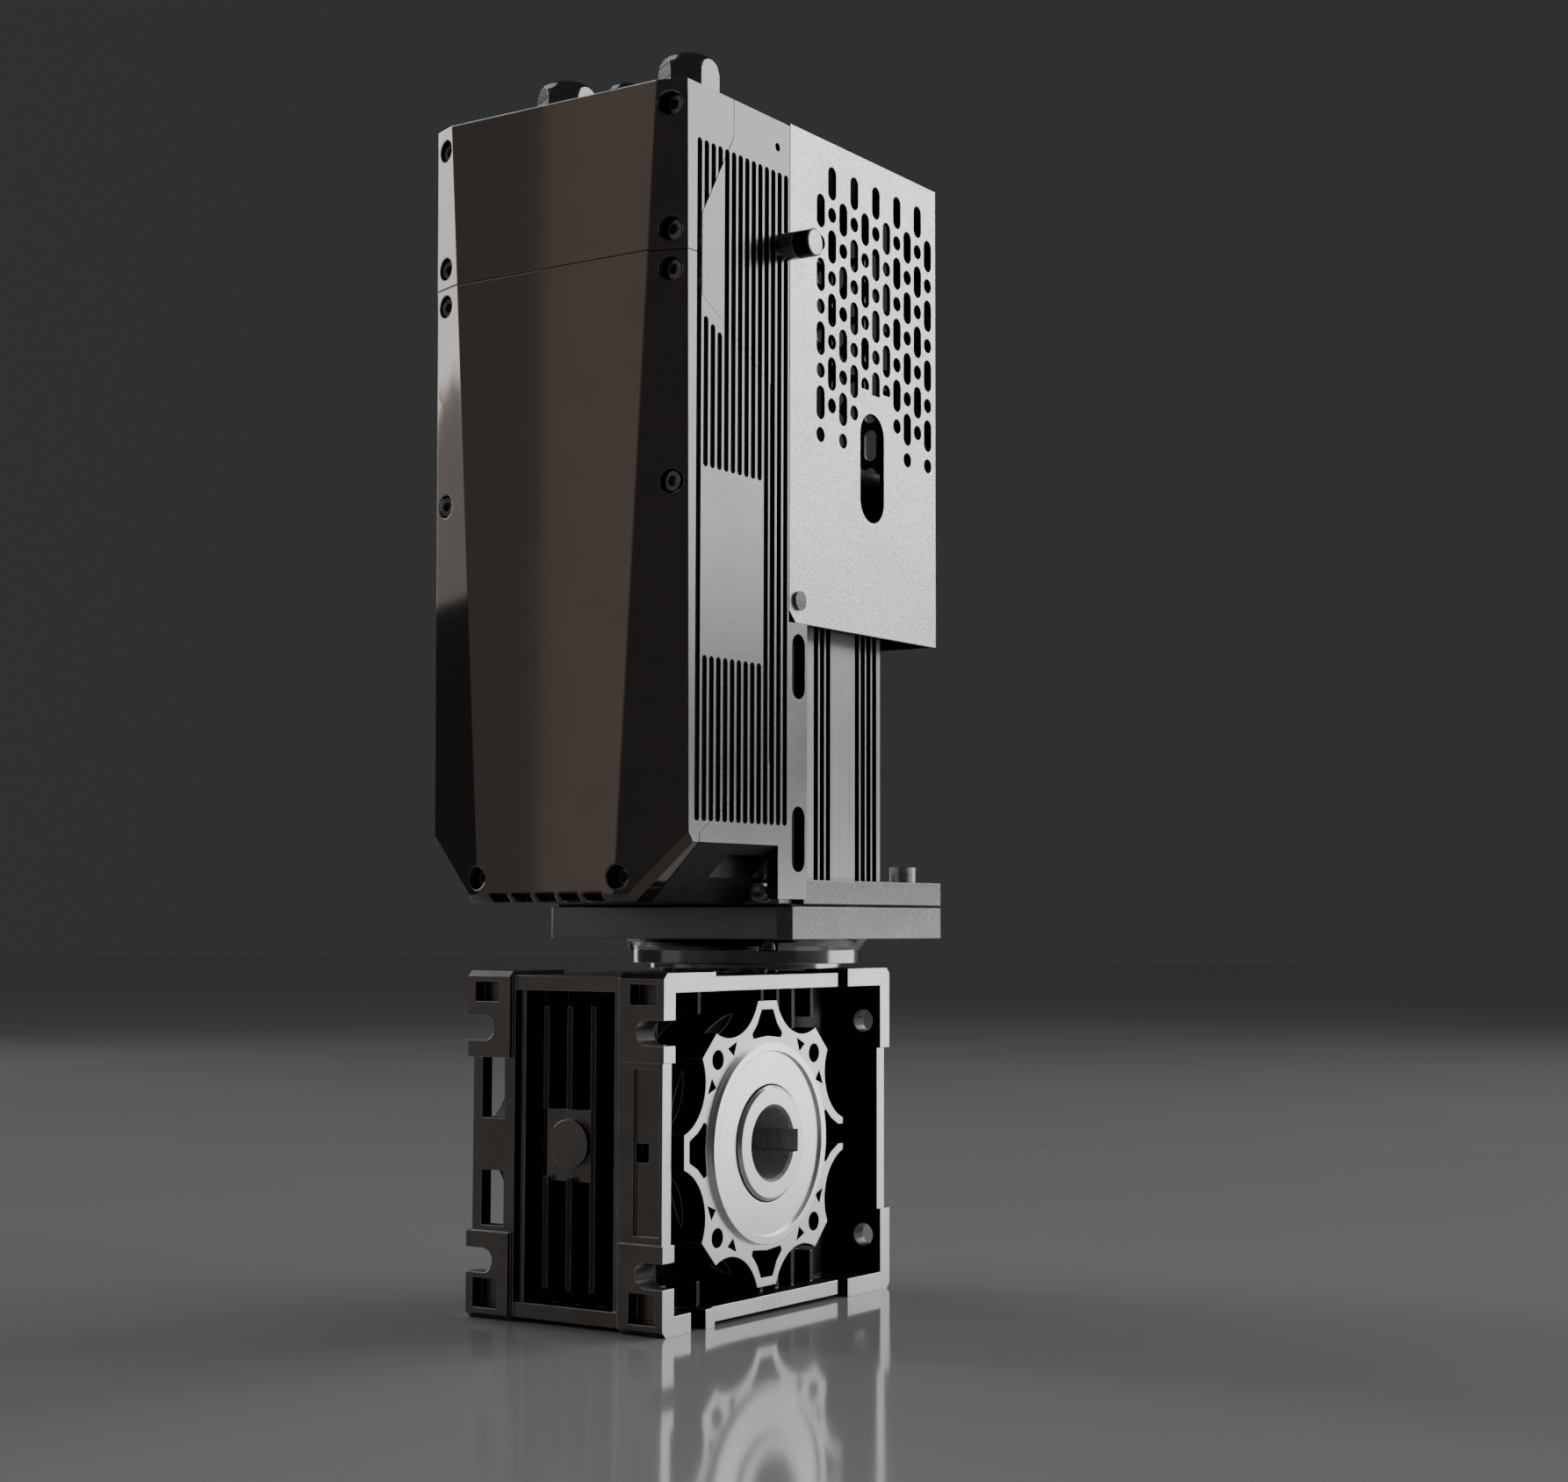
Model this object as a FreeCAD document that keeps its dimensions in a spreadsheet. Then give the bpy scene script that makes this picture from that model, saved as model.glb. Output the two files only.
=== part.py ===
import FreeCAD, Part
import math
import os
import re
import Sketcher

from FreeCAD import Placement, Rotation, Vector

# An upright servo motor with its drive housing, standing on a worm gearbox of size 50.
# Origin at the centre of the output bore, +X along the bore, +Z up along the motor, -Y to the
# front covers. Lengths in millimetres.

doc = FreeCAD.newDocument("IntegratedServoMotor")

SIZES = {
    # fits shared by the pieces
    "play": 0.05,
    "split_gap": 0.3,
    # gearbox case
    "case_half_w": 42.5,
    "case_front": 60,
    "case_back": 84,
    "case_half_h": 60,
    "case_wall": 6.6,
    "pad_len": 30,
    "pad_step": 1.5,
    "column_w": 18.7,
    "front_rib_y": 56.4,
    "front_rib_pitch": 10.2,
    "front_rib_w": 2.2,
    "front_rib_slant": 5.5,
    "front_recess_half": 22.5,
    "front_recess_wall": 4,
    "patch_y": 54.4,
    "patch_low": -11.5,
    "patch_high": 13,
    "front_boss_r": 8.2,
    "front_boss_y": 57,
    "front_boss_z": 1.5,
    "side_rib_w": 1.6,
    "edge_cut": 2,
    "foot_x": 35,
    "foot_z": 40,
    "foot_hole_r": 4.25,
    "foot_slot_end": 35.05,
    "floor_slot_y": 39.5,
    "slit_y": 50,
    "slit_w": 4.6,
    "slit_depth": 12,
    "core_r": 46,
    "core_half": 34,
    "web_half": 16,
    # output star boss, spigot and bolt circle
    "boss_face": 43.5,
    "lobe_r": 49.5,
    "lobe_half": 5.8,
    "valley_r": 41.7,
    "window_depth": 9.5,
    "bolt_circle_r": 42.5,
    "bolt_hole_r": 3.4,
    "cover_bolt_r": 3.233,
    "bolt_hole_depth": 14,
    "spigot_r": 35,
    "spigot_face": 45.5,
    "spigot_rim": 3,
    "spigot_dish": 1,
    # output shaft, wheel and worm
    "bore_r": 12.5,
    "key_w": 8,
    "key_top": 15.8,
    "shaft_r": 20,
    "shaft_half": 46,
    "hub_r": 30,
    "shoulder_r": 23,
    "centre_distance": 50,
    "gear_module": 2.5,
    "wheel_teeth": 30,
    "wheel_half": 13,
    "backlash": 0.3,
    "chamber_r": 42,
    "chamber_half": 16,
    "cover_plug_r": 43,
    "worm_pitch_r": 12.5,
    "worm_thread_half": 17,
    "worm_core_r": 9.5,
    "worm_neck_r": 12.5,
    "worm_tail_r": 8.5,
    "worm_top": 59,
    "worm_bottom": -55,
    "tunnel_r": 28.5,
    "tunnel_bore_r": 17.5,
    # bearings and seals
    "out_bearing_r": 34,
    "out_bearing_in": 17,
    "out_bearing_w": 15,
    "out_seal_r": 31,
    "out_seal_w": 8,
    "top_bearing_r": 23.5,
    "top_bearing_z": 40,
    "top_bearing_w": 12,
    "in_seal_w": 6,
    "low_bearing_r": 20,
    "low_bearing_z": -55,
    "low_bearing_w": 12,
    "end_cap_t": 4,
    "ring_t": 3.2,
    "shield_t": 0.8,
    # neck, plates and their screws
    "neck_r": 43.5,
    "neck_flare": 3,
    "neck_foot_r": 37,
    "neck_foot_h": 2,
    "neck_floor": 5,
    "neck_wall": 8,
    "neck_bore_r": 24.5,
    "neck_screw_r": 30,
    "adapter_z": 71,
    "adapter_t": 11.5,
    "plate_half": 54,
    "plate_cut": 4,
    "plate_back_cut": 1,
    "adapter_screw_r": 41.5,
    "cover_seam": 0.4,
    "plate_gap": 0.5,
    "gasket_t": 1,
    "gasket_inset": 1.5,
    "flange_t": 8.5,
    "register_r": 35,
    "register_h": 3,
    "pocket_r": 4,
    "plate_screw": 43,
    # screws by thread radius
    "m4": 2,
    "m5": 2.5,
    "m6": 3,
    # motor
    "motor_z": 50,
    "frame_half": 43,
    "frame_cut": 16.5,
    "frame_h": 144,
    "frame_bore_r": 36,
    "groove_first": 10,
    "groove_pitch": 4.1,
    "groove_w": 2.9,
    "groove_depth": 3,
    "stator_in_r": 21,
    "stator_slots": 12,
    "stator_slot_w": 5,
    "stator_slot_r": 33,
    "stator_z": 120,
    "stator_h": 84,
    "winding_h": 9,
    "rotor_r": 18,
    "magnet_t": 2.4,
    "magnets": 8,
    "journal_r": 10,
    "front_brg_r": 23.5,
    "front_brg_z": 88,
    "front_brg_w": 14,
    "front_hub_r": 30,
    "front_hub_h": 12,
    "rotor_shaft_r": 12,
    "drive_shaft_r": 7,
    "drive_shaft_z": 32,
    "shaft_key_w": 5,
    "shaft_key_top": 9,
    "rear_brg_bore": 8.5,
    "rear_brg_r": 17.5,
    "rear_brg_w": 10,
    "bell_t": 12,
    "tail_r": 7,
    "brake_r": 29,
    "brake_disc_t": 3,
    "brake_gap": 0.4,
    "armature_t": 3,
    "brake_h": 15,
    "encoder_r": 31,
    "encoder_h": 16,
    "encoder_shaft_r": 4,
    # drive housing and covers
    "drive_half_w": 55.3,
    "drive_low": 83.6,
    "drive_top": 360,
    "top_plate_t": 2.5,
    "corner_cut": 20,
    "drive_wall": 4.5,
    "box_back": 4.5,
    "ear_back": 7,
    "ear_low": 85.1,
    "ear_front": 11.3,
    "ear_low_edge": 103.4,
    "rim_y": 58,
    "face_y": 71,
    "face_top_half": 45.4,
    "face_low_half": 29.3,
    "side_top_y": 66.8,
    "side_low_y": 64,
    "cover_wall": 3,
    "foot_bevel": 2.4,
    "seam_z": 302,
    "skirt_y": 16.7,
    "skirt_low_z": 132,
    "skirt_top_z": 264.7,
    "skirt_foot_z": 106.7,
    "skirt_shoulder_z": 288,
    "upper_skirt_y": 39.5,
    "upper_skirt_z": 316,
    "upper_skirt_top": 346.8,
    "slots": 14,
    "test_hole_r": 1.5,
    "test_hole_y": 12.6,
    "test_hole_z": 350.3,
    "slot_first": 59.7,
    "slot_pitch": 4.04,
    "slot_w": 2.7,
    "slot_depth": 3.2,
    "slot_low": 110.5,
    "slot_high": 341.5,
    "pad_y0": 57.7,
    "pad_y1": 21.9,
    "pad_z0": 166.1,
    "pad_z1": 229.7,
    "hex_y": 45.4,
    "hex_z0": 281,
    "hex_z1": 337,
    "side_hole_y": 1.5,
    "side_hole_w": 8.1,
    "side_hole_len": 23.1,
    "side_hole_z0": 106.1,
    "side_hole_z1": 167,
    "screw_x": 49.5,
    "low_screw_x": 30.4,
    "low_screw_z": 92,
    "counterbore_r": 4,
    "counterbore_y": 65.5,
    "pillar_r": 3.3,
    "vent_pitch": 10.2,
    "vent_w": 8.2,
    "vent_h": 3.2,
    # cable glands on the top plate
    "gland_x": 27.5,
    "gland_y": 28,
    "gland_hex": 9.5,
    "gland_base": 6,
    "gland_h": 23.6,
    "gland_thread_r": 8,
    "small_hex": 6,
    "small_h": 18.5,
    "small_thread_r": 5,
    # perforated rear cover
    "sheet": 1.5,
    "rear_front": 4.4,
    "rear_back": 97.5,
    "rear_low": 182.5,
    "rear_top": 361,
    "rear_cut": 4,
    "hole_r": 2.75,
    "hole_len": 12.3,
    "short_end": 272.7,
    "column_first": 15.6,
    "column_pitch": 7.6,
    "row_pitch": 23.45,
    "big_slot_y": 51,
    "big_slot_w": 16.7,
    "big_slot_z": 245.1,
    "big_slot_len": 41,
    "cover_screw_y": 1.3,
    "cover_screw_z": 190.4,
    "cover_hole_r": 3.5,
    # plunger, earth screw and side recess
    "knob_y": 9,
    "knob_z": 315,
    "knob_r": 4.9,
    "collar_out": 6.9,
    "knob_gap": 0.4,
    "knob_end": 69,
    "pin_r": 1.8,
    "pin_in": 34,
    "spring_r": 2.4,
    "spring_wire_r": 0.4,
    "knob_travel": 6,
    "earth_x": 45.3,
    "earth_washer_r": 3.9,
    "recess_y": 37,
    "recess_z": 100,
    "recess_x": 44,
}

sheet = doc.addObject("Spreadsheet::Sheet", "Sizes")
for row, (alias, value) in enumerate(SIZES.items(), start=1):
    sheet.set("A%d" % row, alias)
    sheet.set("B%d" % row, str(value))
    sheet.setAlias("B%d" % row, alias)
doc.recompute()


def size(alias):
    """A driving size, read from the sheet."""
    return float(sheet.get(alias))


def bound(text):
    """An expression in which every word that the sheet knows points to its cell."""
    return re.sub(r"[a-z]\w*", lambda m: "Sizes." + m.group() if m.group() in SIZES else m.group(), str(text))


def place(obj, x=0, y=0, z=0, rotation=None):
    """Bind an object's position, after turning it."""
    if rotation is not None:
        obj.Placement = Placement(Vector(), rotation)
    for key, value in zip("xyz", (x, y, z)):
        if value != 0:
            obj.setExpression("Placement.Base." + key, bound(value))
    return obj


def box(name, x, y, z):
    """A block between a low and a high expression on each axis."""
    obj = doc.addObject("Part::Box", name)
    for key, (low, high) in zip(("Length", "Width", "Height"), (x, y, z)):
        obj.setExpression(key, bound("(%s) - (%s)" % (high, low)))
    return place(obj, x[0], y[0], z[0])


TURN = {
    "X": Rotation(Vector(0, 1, 0), 90),
    "Y": Rotation(Vector(1, 0, 0), -90),
    "Z": Rotation(),
}


def rod(name, axis, radius, low, high, u=0, v=0):
    """A cylinder along an axis from low to high; u and v are its two other coordinates."""
    obj = doc.addObject("Part::Cylinder", name)
    obj.setExpression("Radius", bound(radius))
    obj.setExpression("Height", bound("(%s) - (%s)" % (high, low)))
    spot = {"X": (low, u, v), "Y": (u, low, v), "Z": (u, v, low)}[axis]
    return place(obj, *spot, rotation=TURN[axis])


def hex_rod(name, axis, across, low, high, u=0, v=0):
    """A six-sided bar along an axis; across is half its width over the flats."""
    obj = doc.addObject("Part::Prism", name)
    obj.Polygon = 6
    obj.setExpression("Circumradius", bound("(%s) * 1.1547" % across))
    obj.setExpression("Height", bound("(%s) - (%s)" % (high, low)))
    spot = {"X": (low, u, v), "Y": (u, low, v), "Z": (u, v, low)}[axis]
    return place(obj, *spot, rotation=TURN[axis])


def sketch(body, role, points):
    """A closed outline on one of the body's own planes, each corner bound to expressions."""
    outline = body.newObject("Sketcher::SketchObject", body.Name + "_outline")
    plane = [f for f in body.Origin.OriginFeatures if f.Role == role][0]
    outline.AttachmentSupport = [(plane, "")]
    outline.MapMode = "FlatFace"
    count = len(points)
    corners = [Vector(math.cos(math.tau * k / count), math.sin(math.tau * k / count), 0) for k in range(count)]
    for k in range(count):
        outline.addGeometry(Part.LineSegment(corners[k], corners[(k + 1) % count]), False)
    for k in range(count):
        outline.addConstraint(Sketcher.Constraint("Coincident", k, 2, (k + 1) % count, 1))
    for k, (u, v) in enumerate(points):
        for kind, value in (("DistanceX", u), ("DistanceY", v)):
            index = outline.addConstraint(Sketcher.Constraint(kind, -1, 1, k, 1, 1.0))
            outline.setExpression("Constraints[%d]" % index, bound(value))
    return outline


def prism(name, plane, points, low, high):
    """An outline in plane XY, XZ or YZ, padded from low to high along the third axis."""
    body = doc.addObject("PartDesign::Body", name)
    pad = body.newObject("PartDesign::Pad", name + "_pad")
    pad.Profile = sketch(body, plane + "_Plane", points)
    pad.setExpression("Length", bound("(%s) - (%s)" % (high, low)))
    pad.Reversed = plane == "XZ"
    return place(body, *{"XY": (0, 0, low), "XZ": (0, low, 0), "YZ": (low, 0, 0)}[plane])


def turned(name, axis, points, x=0, y=0, z=0):
    """A turned piece: corners are (radius, distance along the axis)."""
    body = doc.addObject("PartDesign::Body", name)
    outline = sketch(body, "XZ_Plane", points)
    spin = body.newObject("PartDesign::Revolution", name + "_turn")
    spin.Profile = outline
    spin.ReferenceAxis = (outline, ["V_Axis"])
    spin.Angle = 360
    return place(body, x, y, z, TURN[axis])


def fuse(name, *parts):
    obj = doc.addObject("Part::MultiFuse", name)
    obj.Shapes = list(parts)
    return obj


def cut(name, base, *tools):
    obj = doc.addObject("Part::Cut", name)
    obj.Base = base
    obj.Tool = tools[0] if len(tools) == 1 else fuse(name + "_tools", *tools)
    return obj


def common(name, first, second):
    obj = doc.addObject("Part::Common", name)
    obj.Base = first
    obj.Tool = second
    return obj


def group(name, *parts):
    """Separate solids kept in one node."""
    obj = doc.addObject("Part::Compound", name)
    obj.Links = list(parts)
    return obj


def shaped(name, shape):
    """A form that only Part's own functions make."""
    obj = doc.addObject("Part::Feature", name)
    obj.Shape = shape
    return obj


def obround(name, axis, radius, length, low, high, u, v):
    """A slot cutter along an axis, its long side upright; v is the height of its centre."""
    reach = "(%s) / 2 - (%s)" % (length, radius)
    top = rod(name + "_top", axis, radius, low, high, u, "(%s) + %s" % (v, reach))
    foot = rod(name + "_foot", axis, radius, low, high, u, "(%s) - (%s)" % (v, reach))
    across = ("(%s) - (%s)" % (u, radius), "(%s) + (%s)" % (u, radius))
    upright = ("(%s) - (%s)" % (v, reach), "(%s) + %s" % (v, reach))
    spans = {"X": ((low, high), across, upright), "Y": (across, (low, high), upright)}[axis]
    return fuse(name, top, foot, box(name + "_mid", *spans))


def cap_screw(name, axis, thread, head_face, length, u, v, sign=1):
    """A socket screw whose head stands on head_face and whose shank runs the other way."""
    head_h = "2 * %s" % thread
    over = "(%s) %s %s" % (head_face, "+" if sign > 0 else "-", head_h)
    under = "(%s) %s (%s)" % (head_face, "-" if sign > 0 else "+", length)
    ends = (head_face, over) if sign > 0 else (over, head_face)
    head = rod(name + "_head", axis, "1.7 * %s" % thread, ends[0], ends[1], u, v)
    ends = (under, head_face) if sign > 0 else (head_face, under)
    shank = rod(name + "_shank", axis, thread, ends[0], ends[1], u, v)
    key = "(%s) %s 0.9 * %s" % (over, "-" if sign > 0 else "+", thread)
    ends = (key, over) if sign > 0 else (over, key)
    socket = hex_rod(name + "_socket", axis, "0.8 * %s" % thread, ends[0], ends[1], u, v)
    return cut(name, fuse(name + "_blank", head, shank), socket)


nodes = []


def node(obj, label):
    obj.Label = label
    nodes.append(obj)
    return obj


# output star boss
def star_wire(outer_r, half, valley_r):
    """Eight lobes with flat ends, joined by hollow arcs."""
    edges = []
    for k in range(8):
        turn = Rotation(Vector(1, 0, 0), 45 * k)
        half_turn = Rotation(Vector(1, 0, 0), 45 * k + 22.5)
        next_turn = Rotation(Vector(1, 0, 0), 45 * (k + 1))
        start = turn.multVec(Vector(0, outer_r, -half))
        corner = turn.multVec(Vector(0, outer_r, half))
        valley = half_turn.multVec(Vector(0, valley_r, 0))
        following = next_turn.multVec(Vector(0, outer_r, -half))
        edges.append(Part.LineSegment(start, corner).toShape())
        edges.append(Part.Arc(corner, valley, following).toShape())
    return Part.Wire(edges)


def star(name, low, high):
    face = Part.Face(star_wire(size("lobe_r"), size("lobe_half"), size("valley_r")))
    solid = face.extrude(Vector(high - low, 0, 0))
    solid.translate(Vector(low, 0, 0))
    return shaped(name, solid)


def lobe_window(name, k):
    """The opening in a plain lobe, cut to the depth of the lobe's plate."""
    points = [
        ("lobe_r - 3", "-3.6"), ("lobe_r - 3", "3.6"), ("lobe_r - 8", "6.2"), ("valley_r - 3.6", "9.4"),
        ("spigot_r + 1.4", "8.6"), ("spigot_r + 2.2", "0"), ("spigot_r + 1.4", "-8.6"),
        ("valley_r - 3.6", "-9.4"), ("lobe_r - 8", "-6.2"),
    ]
    window = prism(name, "YZ", points, "boss_face - window_depth", "boss_face + 1")
    window.Placement = Placement(window.Placement.Base, Rotation(Vector(1, 0, 0), 90 * k))
    return window


def corner_window(name, angle, side):
    """One of the two small openings beside a bolt hole."""
    spots = []
    for radius, offset in (("valley_r - 1.2", 17.5), ("valley_r - 0.4", 9.5), ("spigot_r + 2.2", 11.5)):
        turn = math.radians(angle + side * offset)
        spots.append(("(%s) * %.5f" % (radius, math.cos(turn)), "(%s) * %.5f" % (radius, math.sin(turn))))
    return prism(name, "YZ", spots, "boss_face - window_depth", "boss_face + 1")


def around(radius, angle):
    """The Y and Z expressions of a point on a circle about the output axis."""
    turn = math.radians(angle)
    return "(%s) * %.5f" % (radius, math.cos(turn)), "(%s) * %.5f" % (radius, math.sin(turn))


# gearbox case
def gearbox_case():
    wall_in = "case_half_w - pad_step"
    inner_y = ("-(case_front - case_wall)", "case_back - case_wall")
    inner_z = ("-(case_half_h - case_wall)", "case_half_h - case_wall")
    block = box("case_block", ("-(%s)" % wall_in, wall_in), ("pad_step - case_front", "case_back - pad_step"),
                ("pad_step - case_half_h", "case_half_h - pad_step"))
    solids = [block]
    for sx, xs in (("r", ("case_half_w - column_w", "case_half_w")),
                   ("l", ("-case_half_w", "column_w - case_half_w"))):
        for sy, ys in (("f", ("-case_front", "pad_len - case_front")), ("b", ("case_back - pad_len", "case_back"))):
            for sz, zs in (("t", ("case_half_h - pad_len", "case_half_h")),
                           ("u", ("-case_half_h", "pad_len - case_half_h"))):
                solids.append(box("pad_" + sx + sy + sz, xs, ys, zs))
    shell = cut("case_shell", fuse("case_outside", *solids),
                box("case_hollow", ("-case_half_w - 1", "case_half_w + 1"), inner_y, inner_z))

    inside = [
        rod("case_core", "X", "core_r", "-core_half", "core_half"),
        box("case_web", ("-web_half", "web_half"), ("-core_r", inner_y[1]), inner_z),
        box("recess_floor", ("-front_recess_half - front_recess_wall", "front_recess_half + front_recess_wall"),
            ("-core_r", "front_recess_wall - core_r"), inner_z),
        box("recess_side_l", ("-front_recess_half - front_recess_wall", "-front_recess_half"),
            (inner_y[0] + " - 0.1", "front_recess_wall - core_r"), inner_z),
        box("recess_side_r", ("front_recess_half", "front_recess_half + front_recess_wall"),
            (inner_y[0] + " - 0.1", "front_recess_wall - core_r"), inner_z),
        rod("case_tunnel", "Z", "tunnel_r", inner_z[0], inner_z[1], 0, "centre_distance"),
        star("case_star", size("core_half") - 6, size("boss_face")),
        star("case_far_star", -size("core_half"), 6 - size("core_half")),
        rod("case_spigot", "X", "spigot_r", "core_half", "spigot_face"),
        box("case_front_patch", ("-front_rib_pitch", "front_rib_pitch"), ("-patch_y", "-core_r"),
            ("patch_low", "patch_high")),
        rod("case_front_boss", "Y", "front_boss_r", "-front_boss_y", "-core_r", 0, "front_boss_z"),
    ]
    for k in range(-2, 3):
        x = "%d * front_rib_pitch" % k
        sides = (x + " - front_rib_w / 2", x + " + front_rib_w / 2")
        slant = "0" if abs(k) == 2 else "front_rib_slant"
        points = [("-front_rib_y", "%s + %s" % (inner_z[0], slant)), ("-front_rib_y", "%s - %s" % (inner_z[1], slant)),
                  (slant + " - front_rib_y", inner_z[1]), ("2 - core_r", inner_z[1]), ("2 - core_r", inner_z[0]),
                  (slant + " - front_rib_y", inner_z[0])]
        if slant == "0":
            points = [points[0], points[1], points[3], points[4]]
        rib = prism("front_rib_%d" % (k + 2), "YZ", points, *sides)
        if k in (-1, 0):
            rib = cut("front_rib_short_%d" % (k + 2), rib,
                      box("front_rib_break_%d" % (k + 2), (sides[0] + " - 1", sides[1] + " + 1"),
                          ("-case_front", "-patch_y"), ("patch_low + 1.5", "patch_high")))
        inside.append(rib)
    for k, (y, depth) in enumerate(((-28, 8), (10.6, 8), (20.6, 11), (30.5, 20), (43, 11))):
        for side, z in (("t", ("case_half_h - case_wall - %g" % depth, "case_half_h - pad_step")),
                        ("u", ("pad_step - case_half_h", "case_wall - case_half_h + %g" % depth))):
            inside.append(box("side_rib_%s%d" % (side, k), ("-core_half", "core_half"),
                              ("%g - side_rib_w / 2" % y, "%g + side_rib_w / 2" % y), z))
    for sx, x in (("r", ("foot_slot_end - foot_hole_r - 4", "case_half_w - 6")),
                  ("l", ("6 - case_half_w", "foot_hole_r + 4 - foot_slot_end"))):
        for sz, zc in (("t", "foot_z"), ("u", "-foot_z")):
            inside.append(box("foot_boss_" + sx + sz, x, ("-case_front + 2", "-case_front + 10"),
                              (zc + " - foot_hole_r - 3", zc + " + foot_hole_r + 3")))

    holes = [
        box("front_recess", ("-front_recess_half", "front_recess_half"), ("-case_front - 1", "-core_r"), inner_z),
        box("front_recess_low", ("-front_recess_half", "front_recess_half"), ("-case_front - 1", "pad_step - case_front + 0.5"),
            ("-case_half_h - 1", "case_half_h + 1")),
    ]
    shape = cut("case_open", fuse("case_joined", cut("case_shell_open", shell, *holes), *inside),
                *gearbox_bores())
    return node(cut("case_cut", shape, *gearbox_openings(inner_z)), "gearbox_housing")


def gearbox_bores():
    """The wheel chamber, the bearing and seal seats and the worm's bores."""
    seat_end = "out_bearing_in + out_bearing_w"
    return [
        rod("wheel_chamber", "X", "chamber_r", "-chamber_half", "chamber_half"),
        rod("cover_opening", "X", "cover_plug_r", "-core_half - 1", "-chamber_half"),
        rod("out_bearing_seat", "X", "out_bearing_r", "chamber_half - 1", seat_end),
        rod("out_seal_seat", "X", "out_seal_r", "chamber_half", seat_end + " + out_seal_w + 1"),
        rod("shaft_opening", "X", "shaft_r + 0.6", "0", "spigot_face + 1"),
        cut("spigot_dishing", rod("dish_outer", "X", "spigot_r - spigot_rim", "spigot_face - spigot_dish",
                                  "spigot_face + 1"),
            rod("dish_inner", "X", "shaft_r", "spigot_face - spigot_dish - 1", "spigot_face + 2")),
        rod("worm_bore", "Z", "tunnel_bore_r", "low_bearing_z", "top_bearing_z + 1", 0, "centre_distance"),
        rod("top_bearing_seat", "Z", "top_bearing_r", "top_bearing_z", "case_half_h + 1", 0, "centre_distance"),
        rod("low_bearing_seat", "Z", "low_bearing_r", "-case_half_h - 1", "low_bearing_z + low_bearing_w", 0,
            "centre_distance"),
        *[rod("neck_tap_%d" % k, "Z", "m5", "case_half_h - case_wall", "case_half_h + 1",
              *quarter("neck_screw_r * 0.7071", k)) for k in range(4)],
    ]


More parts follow.
